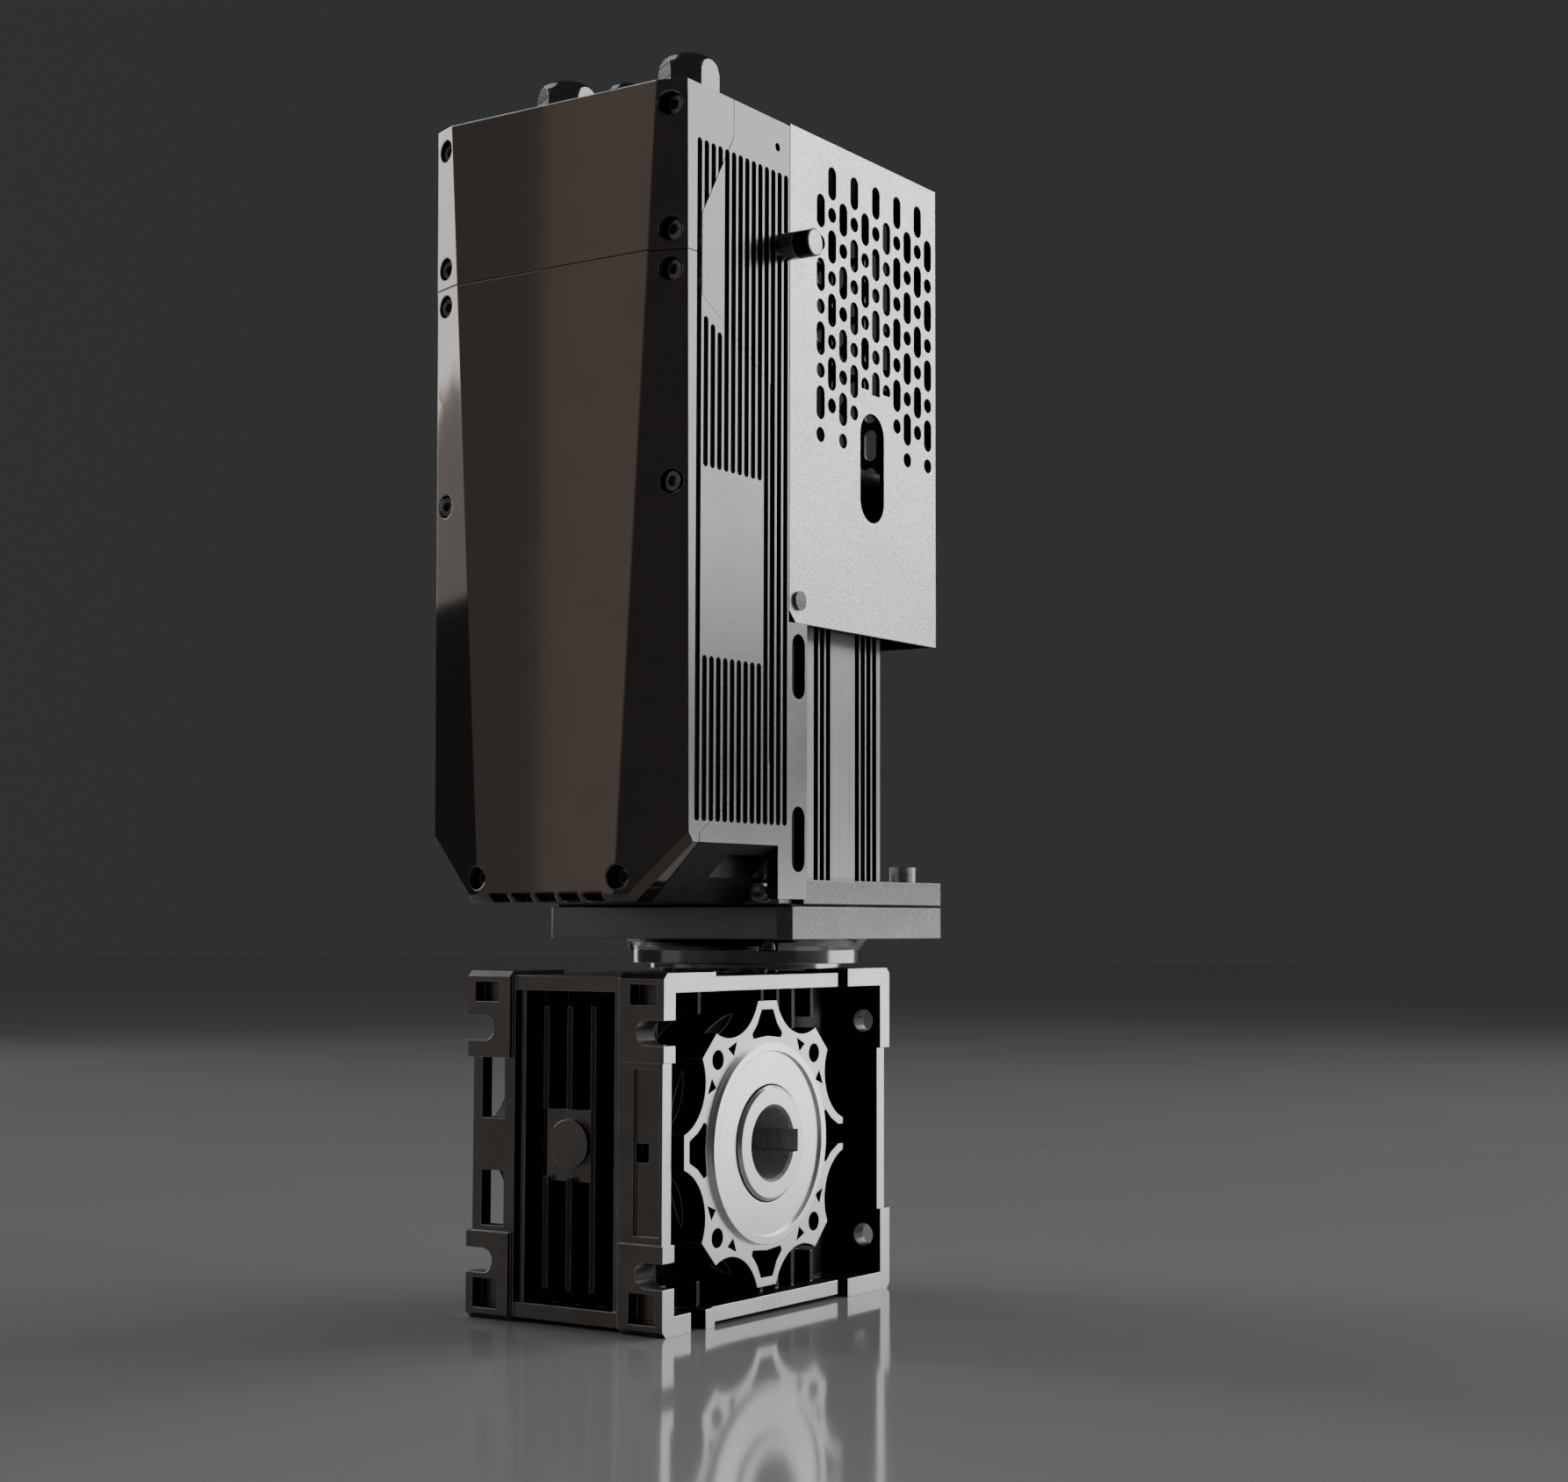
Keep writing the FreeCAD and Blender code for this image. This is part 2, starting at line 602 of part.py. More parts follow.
def gearbox_openings(inner_z):
    """Windows, tapped holes, foot slots, foot holes and the narrow slits of the rims."""
    tools = []
    for k in range(4):
        tools.append(lobe_window("lobe_window_%d" % k, k))
        angle = 45 + 90 * k
        for side in (-1, 1):
            tools.append(corner_window("corner_window_%d_%d" % (k, side + 1), angle, side))
        y, z = around("bolt_circle_r", angle)
        tools.append(rod("bolt_hole_%d" % k, "X", "bolt_hole_r", "boss_face - bolt_hole_depth", "boss_face + 1",
                         y, z))
    tools.append(box("open_lobe", ("boss_face - window_depth", "boss_face + 1"), ("lobe_r - 4", "lobe_r + 1"),
                     ("-3.6", "3.6")))
    for sx, out, end in (("r", "case_half_w + 1", "foot_slot_end"), ("l", "-case_half_w - 1", "-foot_slot_end")):
        for sz, zc in (("t", "foot_z"), ("u", "-foot_z")):
            tools.append(rod("foot_end_" + sx + sz, "Y", "foot_hole_r", "-case_front - 1", "-case_front + 11",
                             end, zc))
            span = (end, out) if sx == "r" else (out, end)
            tools.append(box("foot_slot_" + sx + sz, span, ("-case_front - 1", "-case_front + 11"),
                             (zc + " - foot_hole_r", zc + " + foot_hole_r")))
            tools.append(rod("foot_hole_" + sx + sz, "Y", "foot_hole_r", "case_back - 12", "case_back + 1",
                             "foot_x" if sx == "r" else "-foot_x", zc))
        tools.append(rod("floor_end_" + sx, "Z", "foot_hole_r", "-case_half_h - 1", "case_wall - case_half_h + 1",
                         end, "-floor_slot_y"))
        span = (end, out) if sx == "r" else (out, end)
        tools.append(box("floor_slot_" + sx, span, ("-floor_slot_y - foot_hole_r", "foot_hole_r - floor_slot_y"),
                         ("-case_half_h - 1", "case_wall - case_half_h + 1")))
        inward = "case_half_w - slit_depth"
        span = (inward, out) if sx == "r" else (out, "-(%s)" % inward)
        for sz, z in (("t", ("case_half_h - case_wall - 1", "case_half_h + 1")),
                      ("u", ("-case_half_h - 1", "case_wall - case_half_h + 1"))):
            tools.append(box("slit_" + sx + sz, span, ("slit_y", "slit_y + slit_w"), z))
    pockets = (("upper", 28.4, 39.4, 49.3, 56.2), ("lower", 28.4, 39.4, -56.2, -46.0))
    for label, x0, x1, z0, z1 in pockets:
        for sx, low, high in (("r", x0, x1), ("l", -x1, -x0)):
            tools.append(box("pad_pocket_%s_%s" % (label, sx), ("%g" % low, "%g" % high),
                             ("-case_front - 1", "-case_front + 5"), ("%g" % z0, "%g" % z1)))
    windows = ((-37, -27, 9, 30), (-37, -27, -28, -9), (29.3, 34.7, -3.2, 3.2))
    for k, (x0, x1, z0, z1) in enumerate(windows):
        tools.append(box("column_window_%d" % k, ("%g" % x0, "%g" % x1),
                         ("-case_front - 1", "case_wall - case_front + 1"), ("%g" % z0, "%g" % z1)))
    tools.append(box("column_face", ("29", "case_half_w - pad_step - 1.5"),
                     ("-case_front - 1", "pad_step - case_front + 1"), ("-27.5", "28")))
    for sx, x in (("r", "case_half_w"), ("l", "-case_half_w")):
        for sy, y in (("f", "-case_front"), ("b", "case_back")):
            for sz, z in (("t", "case_half_h"), ("u", "-case_half_h")):
                points = [(y, z + " + 1"), (y + (" + edge_cut" if sy == "f" else " - edge_cut"), z + " + 1"),
                          (y + (" + edge_cut" if sy == "f" else " - edge_cut"), z),
                          (y, z + (" - edge_cut" if sz == "t" else " + edge_cut")),
                          (y + (" - 1" if sy == "f" else " + 1"), z + (" - edge_cut" if sz == "t" else " + edge_cut")),
                          (y + (" - 1" if sy == "f" else " + 1"), z + " + 1")]
                if sz == "u":
                    points = [(u, v.replace(z + " + 1", z + " - 1")) for u, v in points]
                low = x + " - column_w - 1" if sx == "r" else x + " - 1"
                high = x + " + 1" if sx == "r" else x + " + column_w + 1"
                tools.append(prism("edge_" + sx + sy + sz, "YZ", points, low, high))
    return tools


def side_cover():
    """The far side's cover: a star plate with spigot, a plug that holds the far bearing."""
    plug = rod("cover_plug", "X", "cover_plug_r - play", "-core_half", "-chamber_half")
    plate = star("cover_star", -size("boss_face"), -size("core_half"))
    spigot = rod("cover_spigot", "X", "spigot_r", "-spigot_face", "-core_half")
    tools = [
        rod("cover_bearing_seat", "X", "out_bearing_r", "-out_bearing_in - out_bearing_w", "-chamber_half + 1"),
        rod("cover_seal_seat", "X", "out_seal_r", "-out_bearing_in - out_bearing_w - out_seal_w - 1",
            "-chamber_half + 1"),
        rod("cover_shaft_opening", "X", "shaft_r + 0.6", "-spigot_face - 1", "0"),
        cut("cover_dishing", rod("cover_dish_outer", "X", "spigot_r - spigot_rim", "-spigot_face - 1",
                                 "spigot_dish - spigot_face"),
            rod("cover_dish_inner", "X", "shaft_r", "-spigot_face - 2", "spigot_dish - spigot_face + 1")),
    ]
    for k in range(4):
        y, z = around("bolt_circle_r", 45 + 90 * k)
        tools.append(rod("far_bolt_hole_%d" % k, "X", "cover_bolt_r", "-boss_face - 1", "-core_half", y, z))
        y, z = around("bolt_circle_r", 90 * k)
        tools.append(rod("cover_screw_hole_%d" % k, "X", "m5 + play", "-boss_face - 1", "-core_half + 1", y, z))
    node(cut("side_cover_cut", fuse("side_cover_blank", plug, plate, spigot), *tools), "side_cover")

    screws = []
    for k in range(4):
        y, z = around("bolt_circle_r", 90 * k)
        screws.append(cap_screw("cover_screw_%d" % k, "X", "m5", "-boss_face", "boss_face - core_half", y, z, -1))
    node(group("side_cover_screw_set", *screws), "side_cover_screws")


def output_shaft():
    half = [("bore_r + 1", "shaft_half"), ("shaft_r - 1", "shaft_half"), ("shaft_r", "shaft_half - 1"),
            ("shaft_r", "out_bearing_in"), ("shoulder_r", "out_bearing_in"), ("shoulder_r", "wheel_half"),
            ("hub_r", "wheel_half")]
    points = half + [(r, "-(%s)" % a) for r, a in reversed(half)]
    points += [("bore_r", "1 - shaft_half"), ("bore_r", "shaft_half - 1")]
    key = box("output_keyway", ("-shaft_half - 1", "shaft_half + 1"), ("0", "key_top"), ("-key_w / 2", "key_w / 2"))
    node(cut("output_shaft_cut", turned("output_shaft_blank", "X", points), key), "hollow_output_shaft")


def worm_wheel():
    """The bronze rim: involute flanks as two chords each, twisted by the worm's lead."""
    module = size("gear_module")
    teeth = int(size("wheel_teeth"))
    pitch_r = module * teeth / 2
    base_r = pitch_r * math.cos(math.radians(20))
    tip_r = pitch_r + module
    root_r = pitch_r - 1.2 * module
    slack = size("backlash") / 2 / pitch_r

    def half_angle(radius):
        pressure = math.acos(min(1, base_r / radius))
        involute = math.tan(pressure) - pressure
        flat = math.tan(math.radians(20)) - math.radians(20)
        return math.pi / 2 / teeth - slack + flat - involute

    flank = [(root_r, half_angle(base_r)), (pitch_r, half_angle(pitch_r)), (tip_r, half_angle(tip_r))]
    steps = [(r, -a) for r, a in flank] + [(r, a) for r, a in reversed(flank)]
    half = size("wheel_half")
    lead_slope = module / (2 * size("worm_pitch_r"))
    sections = []
    for x in (-half, half):
        twist = lead_slope * x / pitch_r
        corners = []
        for k in range(teeth):
            for radius, angle in steps:
                turn = math.tau * k / teeth + angle + twist
                corners.append(Vector(x, radius * math.cos(turn), radius * math.sin(turn)))
        sections.append(Part.makePolygon(corners + corners[:1]))
    rim = Part.makeLoft(sections, True, True)
    bore = Part.makeCylinder(size("hub_r"), 2 * half + 2, Vector(-half - 1, 0, 0), Vector(1, 0, 0))
    node(shaped("worm_wheel_rim", rim.cut(bore)), "worm_wheel_rim")


def worm():
    """A hollow worm: one right-hand thread on a core that carries both bearings."""
    module = size("gear_module")
    lead = math.pi * module
    pitch_r = size("worm_pitch_r")
    half = size("worm_thread_half")
    root_r = size("worm_core_r")
    tip_r = pitch_r + module
    slope = math.tan(math.radians(20))
    thick = lead / 4 - size("backlash") / 2
    foot_r = root_r - 0.4
    foot = thick + (pitch_r - foot_r) * slope
    tip = thick - module * slope
    helix = Part.makeHelix(lead, 2 * half + 2 * lead, foot_r)
    helix.translate(Vector(0, 0, -half - lead))
    start = -half - lead
    corners = [Vector(foot_r, 0, start - foot), Vector(tip_r, 0, start - tip), Vector(tip_r, 0, start + tip),
               Vector(foot_r, 0, start + foot)]
    profile = Part.makePolygon(corners + corners[:1])
    thread = Part.Wire(helix.Edges).makePipeShell([profile], True, True)
    # the thread's crest faces away from the wheel at height 0, so a gap meets the wheel's tooth there
    thread.rotate(Vector(), Vector(0, 0, 1), 90 - 360 * (half + lead) / lead)
    thread = thread.common(Part.makeCylinder(tip_r + 1, 2 * half, Vector(0, 0, -half)))
    thread.translate(Vector(0, size("centre_distance"), 0))
    blank = turned("worm_blank", "Z", [
        ("0", "worm_bottom"), ("worm_tail_r", "worm_bottom"), ("worm_tail_r", "low_bearing_z + low_bearing_w"),
        ("worm_tail_r + 2", "low_bearing_z + low_bearing_w"), ("worm_core_r", "-worm_thread_half - 5"),
        ("worm_core_r", "worm_thread_half + 3"), ("worm_neck_r", "worm_thread_half + 8"),
        ("worm_neck_r", "worm_top"), ("0", "worm_top")], 0, "centre_distance")
    bore = rod("worm_shaft_bore", "Z", "drive_shaft_r + play", "drive_shaft_z - 1", "worm_top + 1", 0,
               "centre_distance")
    key = box("worm_keyway", ("-shaft_key_w / 2 - play", "shaft_key_w / 2 + play"),
              ("centre_distance", "centre_distance + shaft_key_top + 0.3"), ("drive_shaft_z", "worm_top + 1"))
    core = cut("worm_core", blank, bore, key)
    node(fuse("worm_whole", core, shaped("worm_thread", thread)), "worm_shaft")


def bearing(name, axis, bore, radius, low, width, y=0):
    """Outer ring with its two shields, and inner ring, of one sealed ball bearing."""
    gap = "%s + ring_t" % bore
    outer = turned(name + "_outer", axis, [
        (radius, "0"), (radius, width), (gap + " + 0.3", width), (gap + " + 0.3", width + " - shield_t"),
        (radius + " - ring_t", width + " - shield_t"), (radius + " - ring_t", "shield_t"),
        (gap + " + 0.3", "shield_t"), (gap + " + 0.3", "0")])
    inner = turned(name + "_inner", axis, [(bore, "0"), (gap, "0"), (gap, width), (bore, width)])
    for ring in (outer, inner):
        place(ring, *((low, 0, 0) if axis == "X" else (0, y, low)), rotation=TURN[axis])
    return outer, inner


def gearbox_bearings():
    right = bearing("right_bearing", "X", "shaft_r", "out_bearing_r", "out_bearing_in", "out_bearing_w")
    left = bearing("left_bearing", "X", "shaft_r", "out_bearing_r", "-out_bearing_in - out_bearing_w",
                   "out_bearing_w")
    node(group("out_outer_rings", right[0], left[0]), "output_bearing_outer_rings")
    node(group("out_inner_rings", right[1], left[1]), "output_bearing_inner_rings")
    top = bearing("top_bearing", "Z", "worm_neck_r", "top_bearing_r", "top_bearing_z", "top_bearing_w",
                  "centre_distance")
    low = bearing("low_bearing", "Z", "worm_tail_r", "low_bearing_r", "low_bearing_z", "low_bearing_w",
                  "centre_distance")
    node(group("worm_outer_rings", top[0], low[0]), "worm_bearing_outer_rings")
    node(group("worm_inner_rings", top[1], low[1]), "worm_bearing_inner_rings")


def seal_profile(bore, radius, width):
    """An L-shaped rubber seal whose lip runs on the shaft."""
    return [(bore + " + play", "0"), (radius, "0"), (radius, width), (radius + " - 1.5", width),
            (radius + " - 1.5", "2"), (bore + " + 2.5", "2"), (bore + " + 2", width + " - 1"),
            (bore + " + play", width + " - 1")]


def gearbox_seals():
    seals = []
    for name, low in (("right_seal", "out_bearing_in + out_bearing_w"),
                      ("left_seal", "-out_bearing_in - out_bearing_w - out_seal_w")):
        seals.append(turned(name, "X", seal_profile("shaft_r", "out_seal_r", "out_seal_w"), low))
    node(group("out_seals", *seals), "output_oil_seals")
    node(turned("in_seal", "Z", seal_profile("worm_neck_r", "top_bearing_r", "in_seal_w"), 0, "centre_distance",
                "top_bearing_z + top_bearing_w + 0.5"), "input_oil_seal")
    node(rod("end_cap_disc", "Z", "low_bearing_r", "-case_half_h", "end_cap_t - case_half_h", 0,
             "centre_distance"), "worm_end_cap")


# neck and plates
def quarter(distance, k):
    """One of the four corners of a square about the motor axis."""
    return ("%s(%s)" % (("", "-", "-", "")[k], distance),
            "centre_distance + %s(%s)" % (("", "", "-", "-")[k], distance))


def square(half, corner, back_corner=None):
    """A square about the motor axis with its corners cut."""
    far, near = "(%s)" % half, "(%s - %s)" % (half, corner)
    back = "(%s - %s)" % (half, back_corner or corner)
    spots = ((far, back), (back, far), ("-" + back, far), ("-" + far, back),
             ("-" + far, "-" + near), ("-" + near, "-" + far), (near, "-" + far), (far, "-" + near))
    return [(x, "centre_distance + (%s)" % y) for x, y in spots]


def neck_and_plates():
    neck = turned("neck_blank", "Z", [
        ("neck_bore_r", "case_half_h"), ("neck_foot_r", "case_half_h"), ("neck_foot_r", "case_half_h + neck_foot_h"),
        ("neck_r", "case_half_h + neck_foot_h"), ("neck_r", "adapter_z - 4.2"), ("neck_r + 0.3", "adapter_z - 2.7"),
        ("neck_r + 1", "adapter_z - 1.4"), ("neck_r + 1.9", "adapter_z - 0.5"),
        ("neck_r + neck_flare", "adapter_z"), ("neck_r - neck_wall", "adapter_z"),
        ("neck_r - neck_wall", "case_half_h + neck_floor"), ("neck_bore_r", "case_half_h + neck_floor")],
        0, "centre_distance")
    tools, inner_screws, outer_screws = [], [], []
    for k in range(4):
        x, y = quarter("adapter_screw_r * 0.7071", k)
        tools.append(rod("neck_pocket_%d" % k, "Z", "pocket_r", "adapter_z - 4.3", "adapter_z + 1", x, y))
        outer_screws.append(cap_screw("adapter_screw_%d" % k, "Z", "m4", "adapter_z", "adapter_t - 2", x, y, -1))
        x, y = quarter("neck_screw_r * 0.7071", k)
        tools.append(rod("neck_hole_%d" % k, "Z", "m5 + play", "case_half_h - 1", "adapter_z", x, y))
        inner_screws.append(cap_screw("neck_screw_%d" % k, "Z", "m5", "case_half_h + neck_floor",
                                      "neck_floor + case_wall - 1", x, y))
    node(cut("neck_cut", neck, *tools), "input_neck")
    node(group("neck_screw_set", *inner_screws, *outer_screws), "neck_screws")

    top = "adapter_z + adapter_t"
    holes = [rod("adapter_bore", "Z", "register_r + play", "adapter_z - 1", top + " + 1", 0, "centre_distance")]
    for k in range(4):
        x, y = quarter("adapter_screw_r * 0.7071", k)
        holes.append(rod("adapter_tap_%d" % k, "Z", "m4", "adapter_z - 1", top + " - 2", x, y))
        x, y = quarter("plate_screw", k)
        holes.append(rod("adapter_bolt_%d" % k, "Z", "m6", "adapter_z + 1.5", top + " + 1", x, y))
    node(cut("adapter_cut", prism("adapter_blank", "XY", square("plate_half", "plate_cut", "plate_back_cut"), "adapter_z", top),
             *holes), "adapter_plate")

    holes = [rod("gasket_bore", "Z", "register_r + 4", top, top + " + gasket_t", 0, "centre_distance")]
    for k in range(4):
        x, y = quarter("plate_screw", k)
        holes.append(rod("gasket_hole_%d" % k, "Z", "m6 + play", top, top + " + gasket_t", x, y))
    node(cut("gasket_cut", prism("gasket_blank", "XY", square("plate_half - gasket_inset", "plate_cut"), top,
                                 top + " + gasket_t"), *holes), "flange_gasket")


FLANGE = "adapter_z + adapter_t + gasket_t"
FRAME = FLANGE + " + flange_t"
BELL = FRAME + " + frame_h"
BRAKE = BELL + " + bell_t"


def motor_flange():
    blank = fuse("flange_blank",
                 prism("flange_plate", "XY", square("plate_half", "1"), FLANGE, FRAME),
                 rod("flange_register", "Z", "register_r", FLANGE + " - register_h", FLANGE, 0, "centre_distance"),
                 rod("flange_hub", "Z", "front_hub_r", FRAME, FRAME + " + front_hub_h", 0, "centre_distance"))
    tools = [
        rod("flange_seat", "Z", "front_brg_r", "front_brg_z", FRAME + " + front_hub_h + 1", 0, "centre_distance"),
        rod("flange_through", "Z", "journal_r + 3", FLANGE + " - register_h - 1", FRAME, 0, "centre_distance"),
    ]
    for sx, x in (("r", ("drive_half_w - drive_wall - play", "plate_half + 1")),
                  ("l", ("-plate_half - 1", "drive_wall + play - drive_half_w"))):
        tools.append(box("ear_notch_" + sx, x, ("centre_distance - plate_half - 1", "ear_back + play"),
                         (FLANGE + " - 1", FRAME + " + 1")))
    screws = []
    for k in range(4):
        x, y = quarter("plate_screw", k)
        tools.append(rod("flange_hole_%d" % k, "Z", "m6 + play", FLANGE + " - 1", FRAME + " + 1", x, y))
        screws.append(cap_screw("flange_screw_%d" % k, "Z", "m6", FRAME, "flange_t + gasket_t + adapter_t - 1.5",
                                x, y))
    front = "centre_distance - plate_half"
    middle = FLANGE + " + flange_t / 2"
    tools.append(rod("earth_tap", "Y", "m4", front + " - 1", front + " + 6", "earth_x", middle))
    node(cut("flange_cut", blank, *tools), "motor_flange")
    node(fuse("earth_whole", rod("earth_washer", "Y", "earth_washer_r", front + " - 1", front, "earth_x", middle),
              cap_screw("earth_bolt", "Y", "m4", front + " - 1", "6.5", "earth_x", middle, -1)), "earth_screw")
    node(group("flange_screw_set", *screws), "flange_screws")


# motor
def motor_frame():
    tools = [rod("frame_bore", "Z", "frame_bore_r", FRAME + " - 1", BELL + " + 1", 0, "centre_distance")]
    for k in range(4):
        for side in ("", "-"):
            mid = "%s(groove_first + %d * groove_pitch)" % (side, k)
            across = (mid + " - groove_w / 2", mid + " + groove_w / 2")
            deep = "frame_half - groove_depth"
            tag = "%d%s" % (k, "p" if side == "" else "n")
            span_y = tuple("centre_distance + " + a for a in across)
            tall = (FRAME + " - 1", BELL + " + 1")
            if (k, side) != (3, "-"):
                tools.append(box("groove_right_" + tag, (deep, "frame_half + 1"), span_y, tall))
                tools.append(box("groove_left_" + tag, ("-frame_half - 1", "-(%s)" % deep), span_y, tall))
            tools.append(box("groove_back_" + tag, across,
                             ("centre_distance + " + deep, "centre_distance + frame_half + 1"), tall))
            tools.append(box("groove_front_" + tag, across,
                             ("centre_distance - frame_half - 1", "centre_distance - (%s)" % deep), tall))
    blank = prism("frame_blank", "XY", square("frame_half", "frame_cut"), FRAME, BELL)
    node(cut("frame_cut_grooves", blank, *tools), "motor_frame")

    tools = [rod("bell_through", "Z", "tail_r + 2", BELL + " - 1", BRAKE + " + 1", 0, "centre_distance"),
             rod("bell_seat", "Z", "rear_brg_r", BELL + " - 1", BELL + " + rear_brg_w", 0, "centre_distance")]
    for k in range(4):
        x, y = quarter("frame_half - 14", k)
        tools.append(rod("bell_hole_%d" % k, "Z", "m4 + play", BELL + " - 1", BRAKE + " + 1", x, y))
    blank = prism("bell_blank", "XY", square("frame_half", "frame_cut"), BELL, BRAKE)
    node(cut("bell_cut", blank, *tools), "rear_end_bell")
    screws = [cap_screw("bell_screw_%d" % k, "Z", "m4", BRAKE, "bell_t", *quarter("frame_half - 14", k))
              for k in range(4)]
    node(group("bell_screw_set", *screws), "end_bell_screws")


def stator():
    top = "stator_z + stator_h"
    ring = cut("stator_ring", rod("stator_outer", "Z", "frame_bore_r", "stator_z", top, 0, "centre_distance"),
               rod("stator_inner", "Z", "stator_in_r", "stator_z - 1", top + " + 1", 0, "centre_distance"))
    slots, bars = [], []
    count = int(size("stator_slots"))
    for k in range(count):
        turn = Rotation(Vector(0, 0, 1), 360 * k / count)
        for name, play, low, high, heap in (("stator_slot_%d", "0", "-1", "1", slots),
                                            ("winding_bar_%d", "play", "-1", "1", bars)):
            obj = doc.addObject("Part::Box", name % k)
            obj.setExpression("Length", bound("stator_slot_r - stator_in_r - 2 - 2 * (%s)" % play))
            obj.setExpression("Width", bound("stator_slot_w - 2 * (%s)" % play))
            obj.setExpression("Height", bound("stator_h + 2"))
            obj.Placement = Placement(Vector(), turn)
            reach = "(stator_in_r + 2 + %s)" % play
            half = "(stator_slot_w / 2 - %s)" % play
            c, s = math.cos(math.tau * k / count), math.sin(math.tau * k / count)
            obj.setExpression("Placement.Base.x", bound("%s * %.6f + %s * %.6f" % (reach, c, half, s)))
            obj.setExpression("Placement.Base.y",
                              bound("centre_distance + %s * %.6f - %s * %.6f" % (reach, s, half, c)))
            obj.setExpression("Placement.Base.z", bound("stator_z - 1"))
            heap.append(obj)
    node(cut("stator_cut", ring, *slots), "stator_core")
    rings = []
    for name, low in (("winding_low", "stator_z - 1 - winding_h"), ("winding_top", top + " + 1")):
        rings.append(turned(name, "Z", [("stator_in_r + 2", "0"), ("stator_slot_r", "0"),
                                        ("stator_slot_r", "winding_h"), ("stator_in_r + 2", "winding_h")],
                            0, "centre_distance", low))
    node(fuse("winding_set", *rings, *bars), "stator_windings")


def rotor():
    top = "stator_z + stator_h"
    node(turned("rotor_stack", "Z", [("rotor_shaft_r", "0"), ("rotor_r", "0"), ("rotor_r", "stator_h"),
                                     ("rotor_shaft_r", "stator_h")], 0, "centre_distance", "stator_z"),
         "rotor_core")
    count = int(size("magnets"))
    inner, outer = size("rotor_r"), size("rotor_r") + size("magnet_t")
    arc = 0.84 * math.tau / count
    magnets = []
    for k in range(count):
        first, last = math.tau * k / count - arc / 2, math.tau * k / count + arc / 2
        mid = (first + last) / 2

        def spot(radius, angle):
            return Vector(radius * math.cos(angle), radius * math.sin(angle), 0)

        edges = [Part.Arc(spot(outer, first), spot(outer, mid), spot(outer, last)).toShape(),
                 Part.LineSegment(spot(outer, last), spot(inner, last)).toShape(),
                 Part.Arc(spot(inner, last), spot(inner, mid), spot(inner, first)).toShape(),
                 Part.LineSegment(spot(inner, first), spot(outer, first)).toShape()]
        bar = Part.Face(Part.Wire(edges)).extrude(Vector(0, 0, size("stator_h") - 4))
        bar.translate(Vector(0, size("centre_distance"), size("stator_z") + 2))
        magnets.append(bar)
    node(shaped("magnet_set", Part.Compound(magnets)), "rotor_magnets")

    seat = "front_brg_z + front_brg_w"
    shaft = turned("shaft_blank", "Z", [
        ("0", "drive_shaft_z"), ("drive_shaft_r - 0.8", "drive_shaft_z"), ("drive_shaft_r", "drive_shaft_z + 0.8"),
        ("drive_shaft_r", FLANGE), ("journal_r", FLANGE), ("journal_r", seat), ("rotor_shaft_r", seat),
        ("rotor_shaft_r", top + " + 14"), ("rear_brg_bore", top + " + 16"), ("rear_brg_bore", BELL + " + rear_brg_w"),
        ("tail_r", BELL + " + rear_brg_w"), ("tail_r", BRAKE + " + brake_disc_t + 2"),
        ("encoder_shaft_r", BRAKE + " + brake_disc_t + 2"),
        ("encoder_shaft_r", BRAKE + " + brake_disc_t + armature_t + brake_h + 6"),
        ("0", BRAKE + " + brake_disc_t + armature_t + brake_h + 6")], 0, "centre_distance")
    key_y = ("centre_distance", "centre_distance + shaft_key_top")
    key_x = ("-shaft_key_w / 2", "shaft_key_w / 2")
    slot = box("shaft_keyway", key_x, ("centre_distance + shaft_key_top - shaft_key_w", "centre_distance + shaft_key_top"),
               ("drive_shaft_z + 4", "worm_top - 3"))
    node(cut("shaft_cut", shaft, slot), "motor_shaft")
    node(box("shaft_key_bar", key_x, ("centre_distance + shaft_key_top - shaft_key_w", key_y[1]),
             ("drive_shaft_z + 4", "worm_top - 3")), "shaft_key")
    front = bearing("front_bearing", "Z", "journal_r", "front_brg_r", "front_brg_z", "front_brg_w",
                    "centre_distance")
    rear = bearing("rear_bearing", "Z", "rear_brg_bore", "rear_brg_r", BELL, "rear_brg_w", "centre_distance")
    node(group("motor_outer_rings", front[0], rear[0]), "motor_bearing_outer_rings")
    node(group("motor_inner_rings", front[1], rear[1]), "motor_bearing_inner_rings")


